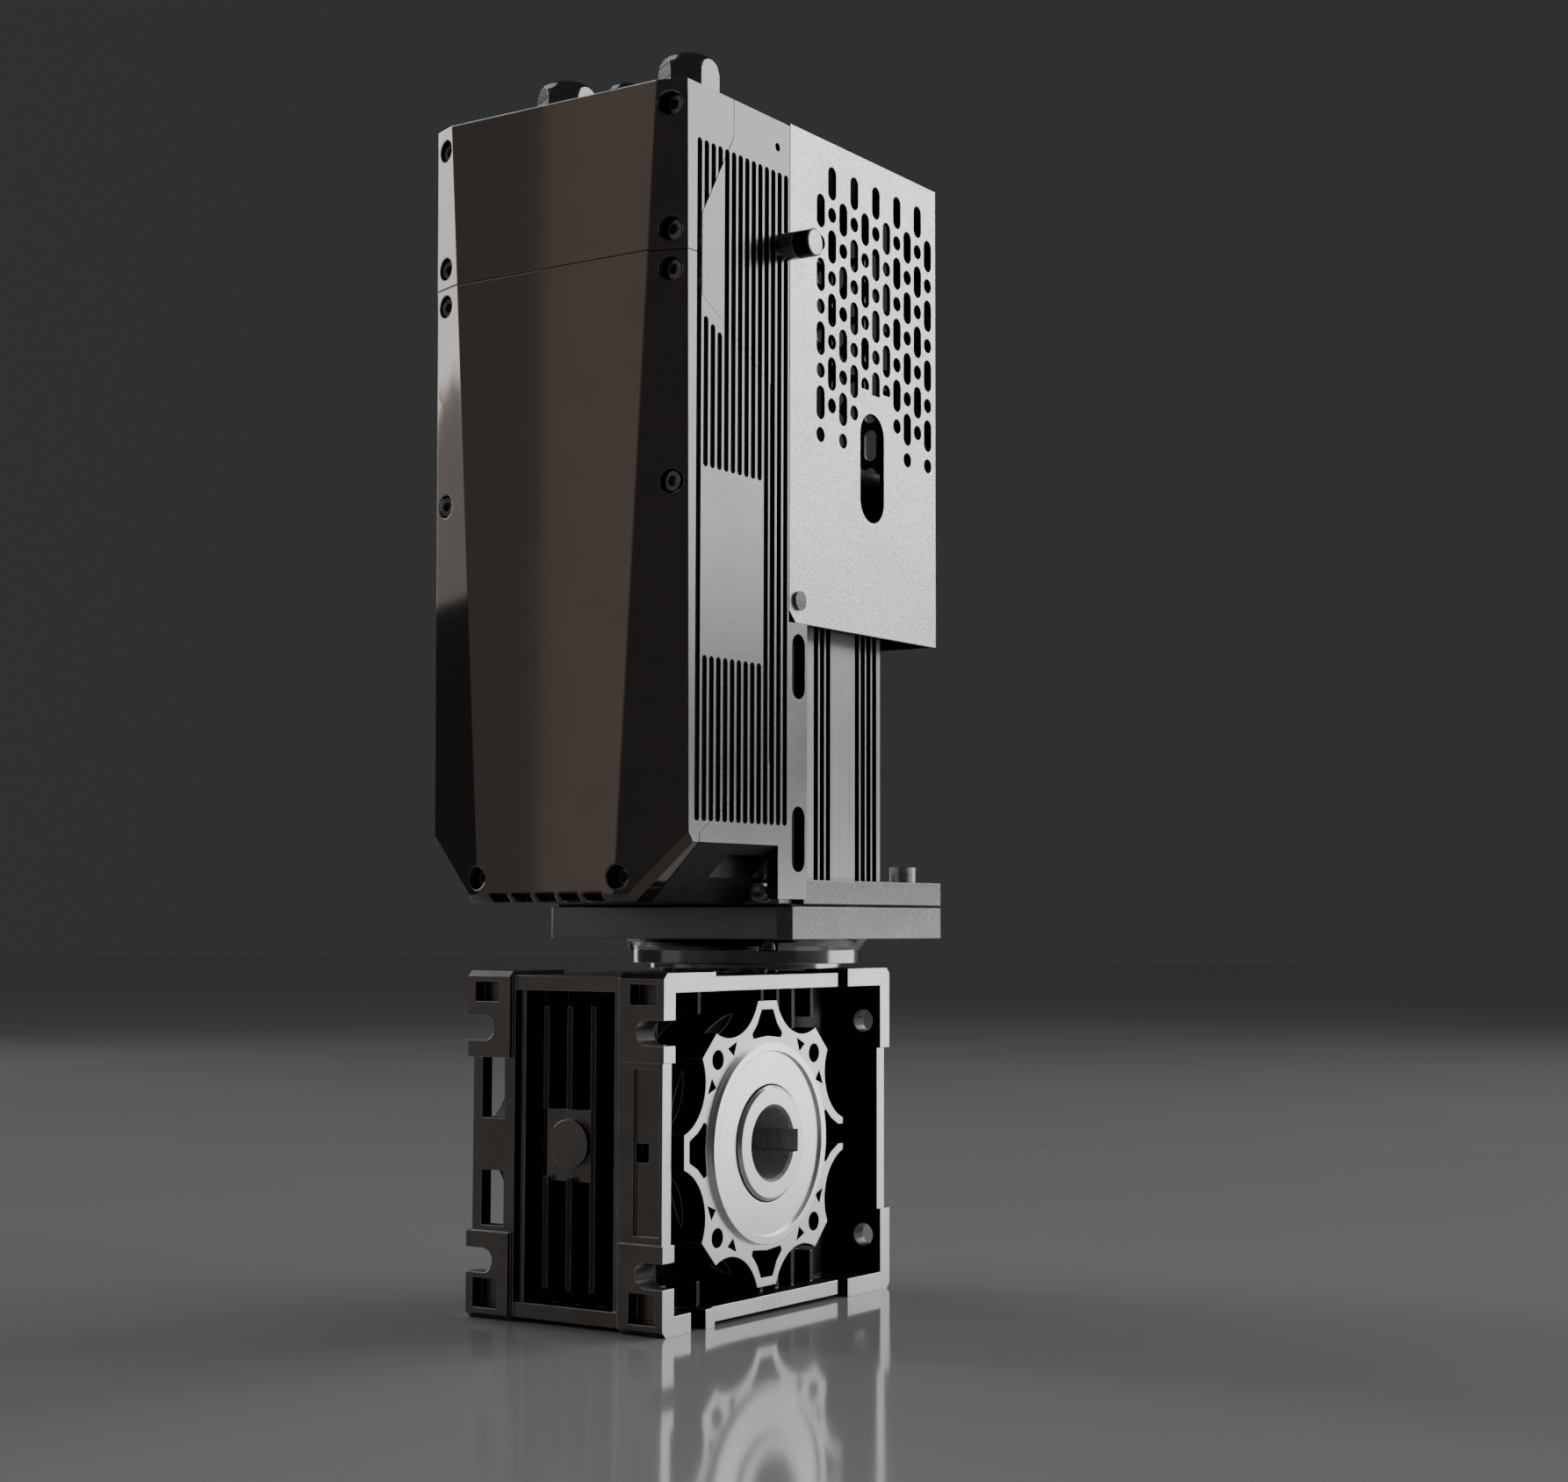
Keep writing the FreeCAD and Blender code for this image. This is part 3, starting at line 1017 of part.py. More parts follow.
def brake_and_encoder():
    disc = BRAKE + " + 0.1"
    node(turned("brake_disc_turn", "Z", [("tail_r", "0"), ("brake_r - 6", "0"), ("brake_r - 6", "brake_disc_t - 0.2"),
                                         ("tail_r", "brake_disc_t - 0.2")], 0, "centre_distance", disc),
         "brake_friction_disc")
    armature = BRAKE + " + brake_disc_t"
    node(turned("armature_turn", "Z", [("tail_r + 2", "0"), ("brake_r - 5", "0"), ("brake_r - 5", "armature_t"),
                                       ("tail_r + 2", "armature_t")], 0, "centre_distance", armature),
         "brake_armature")
    body = armature + " + armature_t + brake_gap"
    magnet = cut("brake_magnet", rod("magnet_outer", "Z", "brake_r", body, body + " + brake_h", 0, "centre_distance"),
                 rod("magnet_bore", "Z", "encoder_shaft_r + 3", body + " - 1", body + " + brake_h + 1", 0,
                     "centre_distance"))
    posts = []
    for k in range(3):
        turn = math.radians(30 + 120 * k)
        posts.append(rod("brake_post_%d" % k, "Z", "m4", BRAKE, body,
                         "(brake_r - m4) * %.5f" % math.cos(turn),
                         "centre_distance + (brake_r - m4) * %.5f" % math.sin(turn)))
    node(fuse("brake_body_set", magnet, *posts), "brake_body")

    floor = body + " + brake_h"
    node(turned("encoder_disc_turn", "Z", [("encoder_shaft_r", "0"), ("encoder_r - 12", "0"),
                                           ("encoder_r - 12", "1"), ("encoder_shaft_r", "1")],
                0, "centre_distance", floor + " + 2"), "encoder_disc")
    node(turned("encoder_board_turn", "Z", [("0", "0"), ("encoder_r - 2", "0"), ("encoder_r - 2", "1.6"),
                                            ("0", "1.6")], 0, "centre_distance", floor + " + 9"), "encoder_board")
    node(turned("encoder_cap_turn", "Z", [
        ("brake_r", "-4"), ("encoder_r", "-4"), ("encoder_r", "encoder_h - 2"), ("encoder_r - 2", "encoder_h"),
        ("0", "encoder_h"), ("0", "encoder_h - 2"), ("encoder_r - 2", "encoder_h - 2"), ("encoder_r - 2", "10.6"),
        ("encoder_r - 2", "9"), ("encoder_r - 4", "9"), ("encoder_r - 4", "0"), ("brake_r", "0")],
        0, "centre_distance", floor), "encoder_cap")


# drive housing and its covers
def side_section(inset):
    """The housing seen from the front: two cut lower corners."""
    half = "(drive_half_w - %s)" % inset
    low = "(drive_low + %s)" % inset
    bevel = "(corner_cut - 0.4142 * %s)" % inset
    return [("-" + half, low + " + " + bevel), ("-" + half, "drive_top"), (half, "drive_top"),
            (half, low + " + " + bevel), (half + " - " + bevel, low), (bevel + " - " + half, low)]


def cover_region(gap, upper):
    """The part of the side view that a front cover fills."""
    g = " + %s" % gap
    if upper:
        return [("-90", "seam_z" + g + " / 2"), ("-rim_y" + " - %s" % gap, "seam_z" + g + " / 2"),
                ("-rim_y - %s" % gap, "upper_skirt_z"), ("-upper_skirt_y - %s" % gap, "upper_skirt_top"),
                ("-upper_skirt_y - %s" % gap, "drive_top + 1"), ("-90", "drive_top + 1")]
    return [("-90", "drive_low - 1"), ("-rim_y - %s" % gap, "drive_low - 1"), ("-rim_y - %s" % gap, "skirt_foot_z"),
            ("-skirt_y - %s" % gap, "skirt_low_z"), ("-skirt_y - %s" % gap, "skirt_top_z"),
            ("-rim_y - %s" % gap, "skirt_shoulder_z"), ("-rim_y - %s" % gap, "seam_z - %s / 2" % gap),
            ("-90", "seam_z - %s / 2" % gap)]


def slot_cutters(name, in_covers=False):
    """The upright round-ended slots of both side walls, left out at the blank pads."""
    tools = []
    for k in range(int(size("slots"))):
        spans = [("slot_low", "slot_high")]
        if 1 <= k <= 9:
            spans = [("slot_low", "pad_z0"), ("pad_z1", "slot_high")]
        if 1 <= k <= 3:
            over = "seam_z - slot_w" if in_covers else "hex_z1 - %d" % (6 * (3 - k))
            spans = [("slot_low", "pad_z0"), ("pad_z1", "hex_z0 - %d" % (2 * (k - 1))), (over, "slot_high")]
        for part, (low, high) in enumerate(spans):
            for sx, x in (("r", ("drive_half_w - slot_depth", "drive_half_w + 1")),
                          ("l", ("-drive_half_w - 1", "slot_depth - drive_half_w"))):
                tools.append(obround("%s_%d_%d%s" % (name, k, part, sx), "X", "slot_w / 2",
                                     "(%s) - (%s)" % (high, low), x[0], x[1],
                                     "%d * slot_pitch - slot_first" % k, "((%s) + (%s)) / 2" % (low, high)))
    return fuse(name, *tools)


COVER_SCREWS = {
    "upper": [("screw_x", "352"), ("screw_x", "309.2")],
    "lower": [("screw_x", "295.6"), ("screw_x", "223.8"), ("low_screw_x", "low_screw_z")],
}


def both_sides(spots):
    return [(sign + x, z) for x, z in spots for sign in ("", "-")]


def drive_housing(slots):
    outer = prism("housing_outer", "XZ", side_section("0"), "-rim_y", "-box_back")
    ears = []
    for sx, x in (("r", ("drive_half_w - drive_wall", "drive_half_w")),
                  ("l", ("-drive_half_w", "drive_wall - drive_half_w"))):
        ears.append(box("ear_" + sx, x, ("-ear_front", "ear_back"), ("ear_low", "drive_top")))
    whole = fuse("housing_whole", outer, *ears)
    rim = "rim_y + 1"
    hollow = prism("housing_hollow", "XZ", side_section("drive_wall"), "-(%s)" % rim, "-box_back - drive_wall")
    lid = box("housing_lid_space", ("drive_wall - drive_half_w", "drive_half_w - drive_wall"),
              ("-rim_y - 1", "-box_back - drive_wall"), ("drive_top - 20", "drive_top + 1"))
    shell = cut("housing_shell", whole, hollow, lid)
    pillars = []
    for k, (x, z) in enumerate(both_sides(COVER_SCREWS["upper"] + COVER_SCREWS["lower"])):
        pillars.append(rod("pillar_%d" % k, "Y", "pillar_r", "-rim_y", "-box_back - 1", x, z))
    tools = [
        prism("lower_region", "YZ", cover_region("0", False), "-70", "70"),
        prism("upper_region", "YZ", cover_region("0", True), "-70", "70"),
        slots,
    ]
    for sx, x in (("r", ("drive_half_w - sheet - play", "drive_half_w + 1")),
                  ("l", ("-drive_half_w - 1", "sheet + play - drive_half_w"))):
        tools.append(box("ear_step_" + sx, x, ("-rear_front - cover_seam", "ear_back + 1"),
                         ("rear_low - 0.2", "drive_top + 1")))
    tools.append(box("ear_top_step", ("-drive_half_w - 1", "drive_half_w + 1"),
                     ("-box_back", "ear_back + 1"), ("rear_top - sheet - play", "drive_top + 1")))
    tools.append(rod("test_hole", "X", "test_hole_r", "drive_half_w - drive_wall + 1", "drive_half_w + 1",
                     "-test_hole_y", "test_hole_z"))
    for k, z in enumerate(("side_hole_z0", "side_hole_z1")):
        tools.append(obround("side_hole_%d" % k, "X", "side_hole_w / 2", "side_hole_len", "-drive_half_w - 1",
                             "drive_half_w + 1", "side_hole_y", z))
    tools.append(box("side_recess", ("recess_x", "drive_half_w + 1"), ("-recess_y", "-ear_front"),
                     ("drive_low - 1", "recess_z")))
    walled = cut("housing_walled", shell, *tools)
    lining = fuse("recess_walls",
                  box("recess_wall", ("recess_x - 3", "recess_x"), ("-recess_y - 3", "-box_back - drive_wall"),
                      ("drive_low", "recess_z + 3")),
                  box("recess_roof", ("recess_x - 3", "drive_half_w"), ("-recess_y - 3", "-box_back - drive_wall"),
                      ("recess_z", "recess_z + 3")),
                  box("recess_end", ("recess_x - 3", "drive_half_w"), ("-recess_y - 3", "-recess_y"),
                      ("drive_low", "recess_z + 3")))
    solid = fuse("housing_solid", walled, *pillars, common("recess_lining", outer, lining))
    holes = [rod("knob_hole", "X", "knob_r - 1", "drive_half_w - drive_wall", "drive_half_w + 1", "-knob_y",
                 "knob_z"),
             rod("spring_pocket", "X", "spring_r + spring_wire_r + 0.4", "pin_in - 1", "drive_half_w - drive_wall",
                 "-knob_y", "knob_z")]
    for k, (x, z) in enumerate(both_sides(COVER_SCREWS["upper"] + COVER_SCREWS["lower"])):
        holes.append(rod("pillar_tap_%d" % k, "Y", "m4", "-rim_y - 1", "-rim_y + 12", x, z))
    for sx, x in (("r", "drive_half_w - drive_wall - 1"), ("l", "-drive_half_w - 1")):
        holes.append(rod("cover_tap_" + sx, "X", "m4", x, x + " + drive_wall + 2", "cover_screw_y",
                         "cover_screw_z"))
    node(cut("housing_cut", solid, *holes), "drive_housing")


def cover_block(name, inset):
    """The front's tapering block, lofted from the lower to the upper plan outline."""
    body = doc.addObject("PartDesign::Body", name)
    sections = []
    for height, half, side in (("drive_low", "face_low_half", "side_low_y"), ("drive_top", "face_top_half", "side_top_y")):
        wide = "(drive_half_w - %s)" % inset
        flat = "(%s - 0.4 * (%s))" % (half, inset)
        outline = sketch(body, "XY_Plane", [
            ("-" + wide, "-10"), ("-" + wide, "%s - %s" % (inset, side)), ("-" + flat, "%s - face_y" % inset),
            (flat, "%s - face_y" % inset), (wide, "%s - %s" % (inset, side)), (wide, "-10")])
        outline.setExpression("AttachmentOffset.Base.z", bound(height))
        sections.append(outline)
    loft = body.newObject("PartDesign::AdditiveLoft", name + "_loft")
    loft.Profile = sections[0]
    loft.Sections = [sections[1]]
    loft.Ruled = True
    return body


def front_foot_bevel(block):
    """The broken edge where the front runs into the bottom and the cut corners."""
    doc.recompute()
    low, high = size("drive_low") - 0.1, size("drive_low") + size("corner_cut") + 0.1
    chosen = []
    for k, edge in enumerate(block.Shape.Edges, 1):
        spots = [v.Point for v in edge.Vertexes]
        if all(p.y < 0.5 - size("side_low_y") and low < p.z < high for p in spots):
            chosen.append((k, size("foot_bevel"), size("foot_bevel")))
    if len(chosen) != 5:
        raise RuntimeError("the front's lower edge has %d pieces, not 5" % len(chosen))
    bevel = doc.addObject("Part::Chamfer", "front_foot_bevel")
    bevel.Base = block
    bevel.Edges = chosen
    return bevel


def front_covers():
    slots = slot_cutters("cover_slots", True)
    block = common("cover_outside", cover_block("cover_outer", "0"),
                   prism("cover_section", "XZ", side_section("0"), "-90", "0"))
    outside = front_foot_bevel(block)
    face = cover_block("cover_inner_face", "cover_wall")
    skirt = prism("cover_inner_skirt", "XZ", side_section("drive_wall"), "-90", "0")
    inside = common("cover_inside", face, skirt)
    lid = box("cover_lid_space", ("drive_wall - drive_half_w", "drive_half_w - drive_wall"),
              ("-rim_y - 2", "0"), ("drive_top - 20", "drive_top + 1"))
    shell = cut("cover_shell", outside, inside, lid)
    screws = []
    for name, upper in (("upper", True), ("lower", False)):
        region = prism(name + "_fill", "YZ", cover_region("split_gap", upper), "-70", "70")
        piece = common(name + "_piece", shell, region)
        bosses, tools = [], [slots]
        for k, (x, z) in enumerate(both_sides(COVER_SCREWS[name])):
            tag = "%s_%d" % (name, k)
            bosses.append(rod("boss_" + tag, "Y", "counterbore_r + 1.6", "-counterbore_y - 2.2", "-rim_y - 0.1",
                              x, z))
            tools.append(rod("counterbore_" + tag, "Y", "counterbore_r", "-90", "-counterbore_y + 3", x, z))
            tools.append(rod("clearance_" + tag, "Y", "m4 + 0.2", "-90", "-rim_y + 1", x, z))
            tools.append(rod("pillar_space_" + tag, "Y", "pillar_r + 0.2", "-rim_y - 0.1", "0", x, z))
            screws.append(cap_screw("screw_" + tag, "Y", "m4", "-counterbore_y + 3", "13", x, z, -1))
        trimmed = [common("trim_" + b.Name, b, outside) for b in bosses]
        if not upper:
            for k in range(-2, 3):
                mid = "%d * vent_pitch" % k
                tools.append(box("vent_%d" % (k + 2), (mid + " - vent_w / 2", mid + " + vent_w / 2"),
                                 ("-face_y - 1", "-face_y + 8"), ("drive_low - 1", "drive_low + vent_h")))
        node(cut(name + "_cover_cut", fuse(name + "_cover_blank", piece, *trimmed), *tools),
             name + "_front_cover")
    node(group("front_screw_set", *screws), "front_cover_screws")


def top_plate():
    """The lid that closes the box under the glands."""
    wide = "(drive_half_w - drive_wall - play)"
    flat = "(face_top_half - cover_wall)"
    back, side, face = "-box_back - drive_wall - play", "%s - side_top_y", "%s - face_y"
    inset = "cover_wall + plate_gap"
    side, face = side % inset, face % inset
    points = [("-" + wide, back), ("-" + wide, side), ("-" + flat, face), (flat, face), (wide, side), (wide, back)]
    under, over = "drive_top - top_plate_t", "drive_top"
    blank = prism("lid_blank", "XY", points, under, over)
    holes = [rod("gland_hole_r", "Z", "gland_thread_r", under + " - 1", over + " + 1", "gland_x", "-gland_y"),
             rod("gland_hole_l", "Z", "gland_thread_r", under + " - 1", over + " + 1", "-gland_x", "-gland_y"),
             rod("gland_hole_m", "Z", "small_thread_r", under + " - 1", over + " + 1", 0, "-gland_y")]
    node(cut("lid_cut", blank, *holes), "top_plate")


def hex_nut(name, across, low, high, x, y):
    """A hexagon about an upright axis, one flat toward +X."""
    nut = hex_rod(name, "Z", across, low, high, x, y)
    nut.Placement.Rotation = Rotation(Vector(0, 0, 1), 30)
    return nut


def gland(name, x, across, thread, height):
    """A cable gland: body with hexagon and thread, and its domed nut."""
    seat = "drive_top"
    y = "-gland_y"
    corner = across + " * 1.16 * %s"
    rise = "(" + height + " - gland_base) * %s"
    body = cut(name + "_body", fuse(name + "_body_blank",
                                    hex_nut(name + "_hex", across, seat, seat + " + gland_base - 1", x, y),
                                    rod(name + "_thread", "Z", thread, seat + " - 9", seat, x, y),
                                    rod(name + "_stem", "Z", across + " - 2", seat, seat + " + gland_base + 3", x, y)),
               rod(name + "_way", "Z", thread + " - 2.2", seat + " - 10", seat + " + 30", x, y))
    outline = [(1, 0), (1, 0.45), (0.985, 0.62), (0.93, 0.78), (0.82, 0.9), (0.66, 0.965), (0.5, 0.99), (0.38, 1),
               (0.33, 1), (0.33, 0.6)]
    dome = turned(name + "_dome", "Z",
                  [(across + " - 2 + play", "0")] + [(corner % r, rise % h) for r, h in outline]
                  + [(across + " - 2 + play", rise % 0.35)], x, y, seat + " + gland_base")
    nut = common(name + "_nut", dome, hex_nut(name + "_nut_hex", across, seat, seat + " + " + height, x, y))
    return body, nut


def glands():
    right = gland("gland_right", "gland_x", "gland_hex", "gland_thread_r", "gland_h")
    left = gland("gland_left", "-gland_x", "gland_hex", "gland_thread_r", "gland_h")
    small = gland("gland_small", "0", "small_hex", "small_thread_r", "small_h")
    node(group("large_bodies", right[0], left[0]), "large_gland_bodies")
    node(group("large_nuts", right[1], left[1]), "large_gland_nuts")
    node(small[0], "small_gland_body")
    node(small[1], "small_gland_nut")


# perforated rear cover
def cut_short(k, reach, y):
    """An opening above the big slot, cut off straight before it would meet the slot."""
    whole = (obround("whole_slot", "X", "hole_r", "hole_len", reach[0], reach[1], y, "346 - 3 * row_pitch") if k == 5
             else rod("whole_hole_%d" % k, "X", "hole_r", reach[0], reach[1], y, "346 - 3 * row_pitch"))
    end = "short_end" if k == 5 else "short_end + 1.4"
    return cut("short_opening_%d" % k, whole,
               box("short_cut_%d" % k, (reach[0] + " - 1", reach[1] + " + 1"), (y + " - 5", y + " + 5"),
                   (end + " - 20", end)))


def rear_cover():
    half = "drive_half_w"
    side = [("-rear_front", "rear_low + rear_cut"), ("rear_cut - rear_front", "rear_low"), ("rear_back", "rear_low"),
            ("rear_back", "rear_top"), ("-rear_front", "rear_top")]
    blank = prism("rear_blank", "YZ", side, "-" + half, half)
    hollow = box("rear_hollow", ("sheet - " + half, half + " - sheet"), ("-rear_front - 1", "rear_back - sheet"),
                 ("rear_low - 1", "rear_top - sheet"))
    tools = [hollow]
    reach = ("-drive_half_w - 1", "drive_half_w + 1")
    for k in range(11):
        y = "column_first + %d * column_pitch" % k
        for row in range(4):
            slot_z = "346 - (%g) * row_pitch" % (row + (0 if k % 2 else 0.5))
            hole_z = "346 - (%g) * row_pitch" % (row + (0.5 if k % 2 else 0))
            if k in (4, 5, 6) and row == 3:
                tools.append(cut_short(k, reach, y))
                continue
            tools.append(obround("slot_%d_%d" % (k, row), "X", "hole_r", "hole_len", reach[0], reach[1], y, slot_z))
            if not (k % 2 == 0 and row == 0):
                tools.append(rod("hole_%d_%d" % (k, row), "X", "hole_r", reach[0], reach[1], y, hole_z))
        if k % 2 == 0 and k not in (4, 6):
            tools.append(rod("hole_%d_4" % k, "X", "hole_r", reach[0], reach[1], y, "346 - 4 * row_pitch"))
    behind = ("rear_back - 5", "rear_back + 1")
    for k in range(10):
        x = "(%g) * column_pitch" % (k - 4.5)
        for row in range(4):
            slot_z = "346 - (%g) * row_pitch" % (row + (0 if k % 2 else 0.5))
            hole_z = "346 - (%g) * row_pitch" % (row + (0.5 if k % 2 else 0))
            tools.append(obround("back_slot_%d_%d" % (k, row), "Y", "hole_r", "hole_len", behind[0], behind[1], x,
                                 slot_z))
            if not (k % 2 == 0 and row == 0):
                tools.append(rod("back_hole_%d_%d" % (k, row), "Y", "hole_r", behind[0], behind[1], x, hole_z))
        if k % 2 == 0:
            tools.append(rod("back_hole_%d_4" % k, "Y", "hole_r", behind[0], behind[1], x, "346 - 4 * row_pitch"))
    tools.append(obround("big_slot", "X", "big_slot_w / 2", "big_slot_len", reach[0], reach[1], "big_slot_y",
                         "big_slot_z"))
    tools.append(rod("rear_screw_hole", "X", "m4 + 0.3", reach[0], reach[1], "cover_screw_y", "cover_screw_z"))
    node(cut("rear_cut_holes", blank, *tools), "rear_perforated_cover")
    screws = []
    for sx, sign, face in (("r", 1, "drive_half_w"), ("l", -1, "-drive_half_w")):
        head = rod("rear_screw_head_" + sx, "X", "cover_hole_r", *(("drive_half_w", "drive_half_w + 1.2")
                   if sign > 0 else ("-drive_half_w - 1.2", "-drive_half_w")), "cover_screw_y", "cover_screw_z")
        shank = rod("rear_screw_shank_" + sx, "X", "m4", *(("drive_half_w - 7", "drive_half_w")
                    if sign > 0 else ("-drive_half_w", "7 - drive_half_w")), "cover_screw_y", "cover_screw_z")
        screws.append(fuse("rear_screw_" + sx, head, shank))
    node(group("rear_screw_set", *screws), "rear_cover_screws")


# plunger on the side
def plunger():
    wall = "drive_half_w - drive_wall"
    node(cut("collar_cut",
             fuse("collar_blank",
                  rod("collar_body", "X", "knob_r", "drive_half_w", "drive_half_w + collar_out", "-knob_y", "knob_z"),
                  rod("collar_neck", "X", "knob_r - 1", wall, "drive_half_w", "-knob_y", "knob_z")),
             rod("collar_way", "X", "pin_r + play", wall + " - 1", "drive_half_w + collar_out + 1", "-knob_y",
                 "knob_z")), "plunger_collar")
    start = "drive_half_w + collar_out + knob_gap"
    node(cut("knob_cut", rod("knob_body", "X", "knob_r", start, "knob_end - 0.2", "-knob_y", "knob_z"),
             rod("knob_way", "X", "pin_r", start + " - 1", "knob_end", "-knob_y", "knob_z"),
             rod("knob_recess", "X", "knob_r - 0.5", "knob_end - 1.4", "knob_end", "-knob_y", "knob_z")),
         "release_knob")
    node(fuse("pin_whole",
              rod("pin_stem", "X", "pin_r", "pin_in", "knob_end - 1.4", "-knob_y", "knob_z"),
              rod("pin_head", "X", "knob_r - 0.5", "knob_end - 1.4", "knob_end", "-knob_y", "knob_z"),
              rod("pin_clip", "X", "spring_r + spring_wire_r", "pin_in + 0.6", "pin_in + 1.4", "-knob_y",
                  "knob_z")),
         "release_pin")
    turns, wire = 5, size("spring_wire_r")
    low, high = size("pin_in") + 1.4, size("drive_half_w") - size("drive_wall")
    radius = size("spring_r")
    pitch = (high - low - 2 * wire) / turns
    helix = Part.makeHelix(pitch, pitch * turns, radius)
    ring = Part.makePolygon([Vector(radius - wire, 0, -wire), Vector(radius + wire, 0, -wire),
                             Vector(radius + wire, 0, wire), Vector(radius - wire, 0, wire),
                             Vector(radius - wire, 0, -wire)])
    coil = Part.Wire(helix.Edges).makePipeShell([ring], True, True)
    spring = shaped("spring_coil", coil)
    spring.Placement = Placement(Vector(low + wire, -size("knob_y"), size("knob_z")), TURN["X"])
    node(spring, "plunger_spring")


# electronics
def electronics():
    back = "-box_back - drive_wall"
    node(box("heat_pad_block", ("-36", "36"), (back + " - 5", back), ("130", "300")), "heat_spreader")
    board = back + " - 9"
    node(box("power_board_plate", ("-44", "44"), (board + " - 1.6", board), ("112", "344")), "power_board")
    node(box("power_module_block", ("-30", "30"), (board, back + " - 5"), ("150", "280")), "power_module")
    caps = [rod("capacitor_%d" % k, "Y", "11", board + " - 31.6", board + " - 1.6", "%d" % x, "%d" % z)
            for k, (x, z) in enumerate(((-26, 130), (0, 130), (26, 130), (-26, 156), (0, 156), (26, 156)))]
    node(group("capacitor_set", *caps), "dc_link_capacitors")
    logic = "-rim_y + 6"
    node(box("control_board_plate", ("-44", "44"), (logic, logic + " + 1.6"), ("180", "344")), "control_board")
    posts, feet = [], []
    for k, (x, z) in enumerate(((-40, 190), (40, 190), (-40, 338), (40, 338))):
        posts.append(rod("post_%d" % k, "Y", "3", logic + " + 1.6", board + " - 1.6", "%d" % x, "%d" % z))
    for k, (x, z) in enumerate(((-40, 118), (40, 118), (-40, 190), (40, 190), (-40, 338), (40, 338))):
        feet.append(rod("foot_%d" % k, "Y", "3", board, back, "%d" % x, "%d" % z))
    node(group("spacer_set", *posts, *feet), "board_spacers")
    node(box("terminal_block_body", ("-34", "34"), (board + " - 13.6", board + " - 1.6"), ("318", "332")),
         "terminal_block")
    resistor = cut("resistor_body",
                   box("resistor_block", ("-20", "20"), ("-box_back", "14"), ("264", "344")),
                   *[box("resistor_fin_%d" % k, ("-20.5", "20.5"), ("8", "15"), ("%d" % z, "%d" % (z + 3)))
                     for k, z in enumerate(range(270, 340, 8))])
    node(resistor, "braking_resistor")


gearbox_case()
side_cover()
output_shaft()
worm_wheel()
worm()
gearbox_bearings()
gearbox_seals()
neck_and_plates()
motor_flange()
motor_frame()
stator()
rotor()
brake_and_encoder()
side_slots = slot_cutters("side_slots")
drive_housing(side_slots)
front_covers()
top_plate()
glands()
rear_cover()
plunger()
electronics()

doc.recompute()
for item in doc.Objects:
    if "Invalid" in item.State or "Error" in item.State:
        raise RuntimeError("%s failed: %s" % (item.Name, item.State))
for item in nodes:
    if item.Shape.isNull() or not item.Shape.isValid():
        raise RuntimeError("%s has no valid shape" % item.Label)

os.makedirs("parts", exist_ok=True)
for item in nodes:
    item.Shape.exportStep("parts/%s.step" % item.Label)
    print("%-28s solids %2d  volume %10.1f" % (item.Label, len(item.Shape.Solids), item.Shape.Volume))
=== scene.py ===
import math

import bpy
from mathutils import Matrix, Vector

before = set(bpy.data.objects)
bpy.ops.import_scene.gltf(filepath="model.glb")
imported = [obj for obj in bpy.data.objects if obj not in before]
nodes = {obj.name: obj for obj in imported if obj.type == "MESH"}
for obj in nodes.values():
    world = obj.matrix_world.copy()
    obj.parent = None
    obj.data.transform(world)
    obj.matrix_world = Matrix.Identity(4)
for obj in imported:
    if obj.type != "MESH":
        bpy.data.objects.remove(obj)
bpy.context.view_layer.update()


# Gearbox case, side cover and input neck.
# Aluminium die castings. Their end faces, output spigots and drilled holes are machined bright;
# the rest of the case's outside is darkened as painted shade, its pockets are painted black as
# painted shade, the neck is dark grey, and their edges carry painted highlights. Screws hold cover
# and neck.
def finish(name, color, metallic, roughness):
    """An empty finish: its material, its node tree and its shader."""
    material = bpy.data.materials.new(name)
    material.use_nodes = True
    tree = material.node_tree
    shader = tree.nodes["Principled BSDF"]
    shader.inputs["Base Color"].default_value = (*color, 1)
    shader.inputs["Metallic"].default_value = metallic
    shader.inputs["Roughness"].default_value = roughness
    return material, tree, shader


def noise(tree, scale, detail=3.0, stretch=(1, 1, 1)):
    """Noise in the object's own metres; stretch squeezes it along an axis."""
    place = tree.nodes.new("ShaderNodeTexCoord")
    mapping = tree.nodes.new("ShaderNodeMapping")
    mapping.inputs["Scale"].default_value = stretch
    texture = tree.nodes.new("ShaderNodeTexNoise")
    texture.inputs["Scale"].default_value = scale
    texture.inputs["Detail"].default_value = detail
    tree.links.new(place.outputs["Object"], mapping.inputs["Vector"])
    tree.links.new(mapping.outputs["Vector"], texture.inputs["Vector"])
    return texture.outputs["Fac"]


def between(tree, fac, low, high, start=0.3, stop=0.7):
    """Spreads a texture between two values."""
    spread = tree.nodes.new("ShaderNodeMapRange")
    spread.inputs["From Min"].default_value = start
    spread.inputs["From Max"].default_value = stop
    spread.inputs["To Min"].default_value = low
    spread.inputs["To Max"].default_value = high
    tree.links.new(fac, spread.inputs["Value"])
    return spread.outputs["Result"]


def tint(tree, fac, dark, light, start=0.3, stop=0.7):
    """Spreads a texture between two colours."""
    ramp = tree.nodes.new("ShaderNodeValToRGB")
    ramp.color_ramp.elements[0].position = start
    ramp.color_ramp.elements[0].color = (*dark, 1)
    ramp.color_ramp.elements[1].position = stop
    ramp.color_ramp.elements[1].color = (*light, 1)
    tree.links.new(fac, ramp.inputs["Fac"])
    return ramp.outputs["Color"]


def broken_edges(tree, radius):
    """The direction a surface faces when its edges are broken to a small radius, in metres."""
    rounding = tree.nodes.new("ShaderNodeBevel")
    rounding.samples = 6
    rounding.inputs["Radius"].default_value = radius
    return rounding.outputs["Normal"]


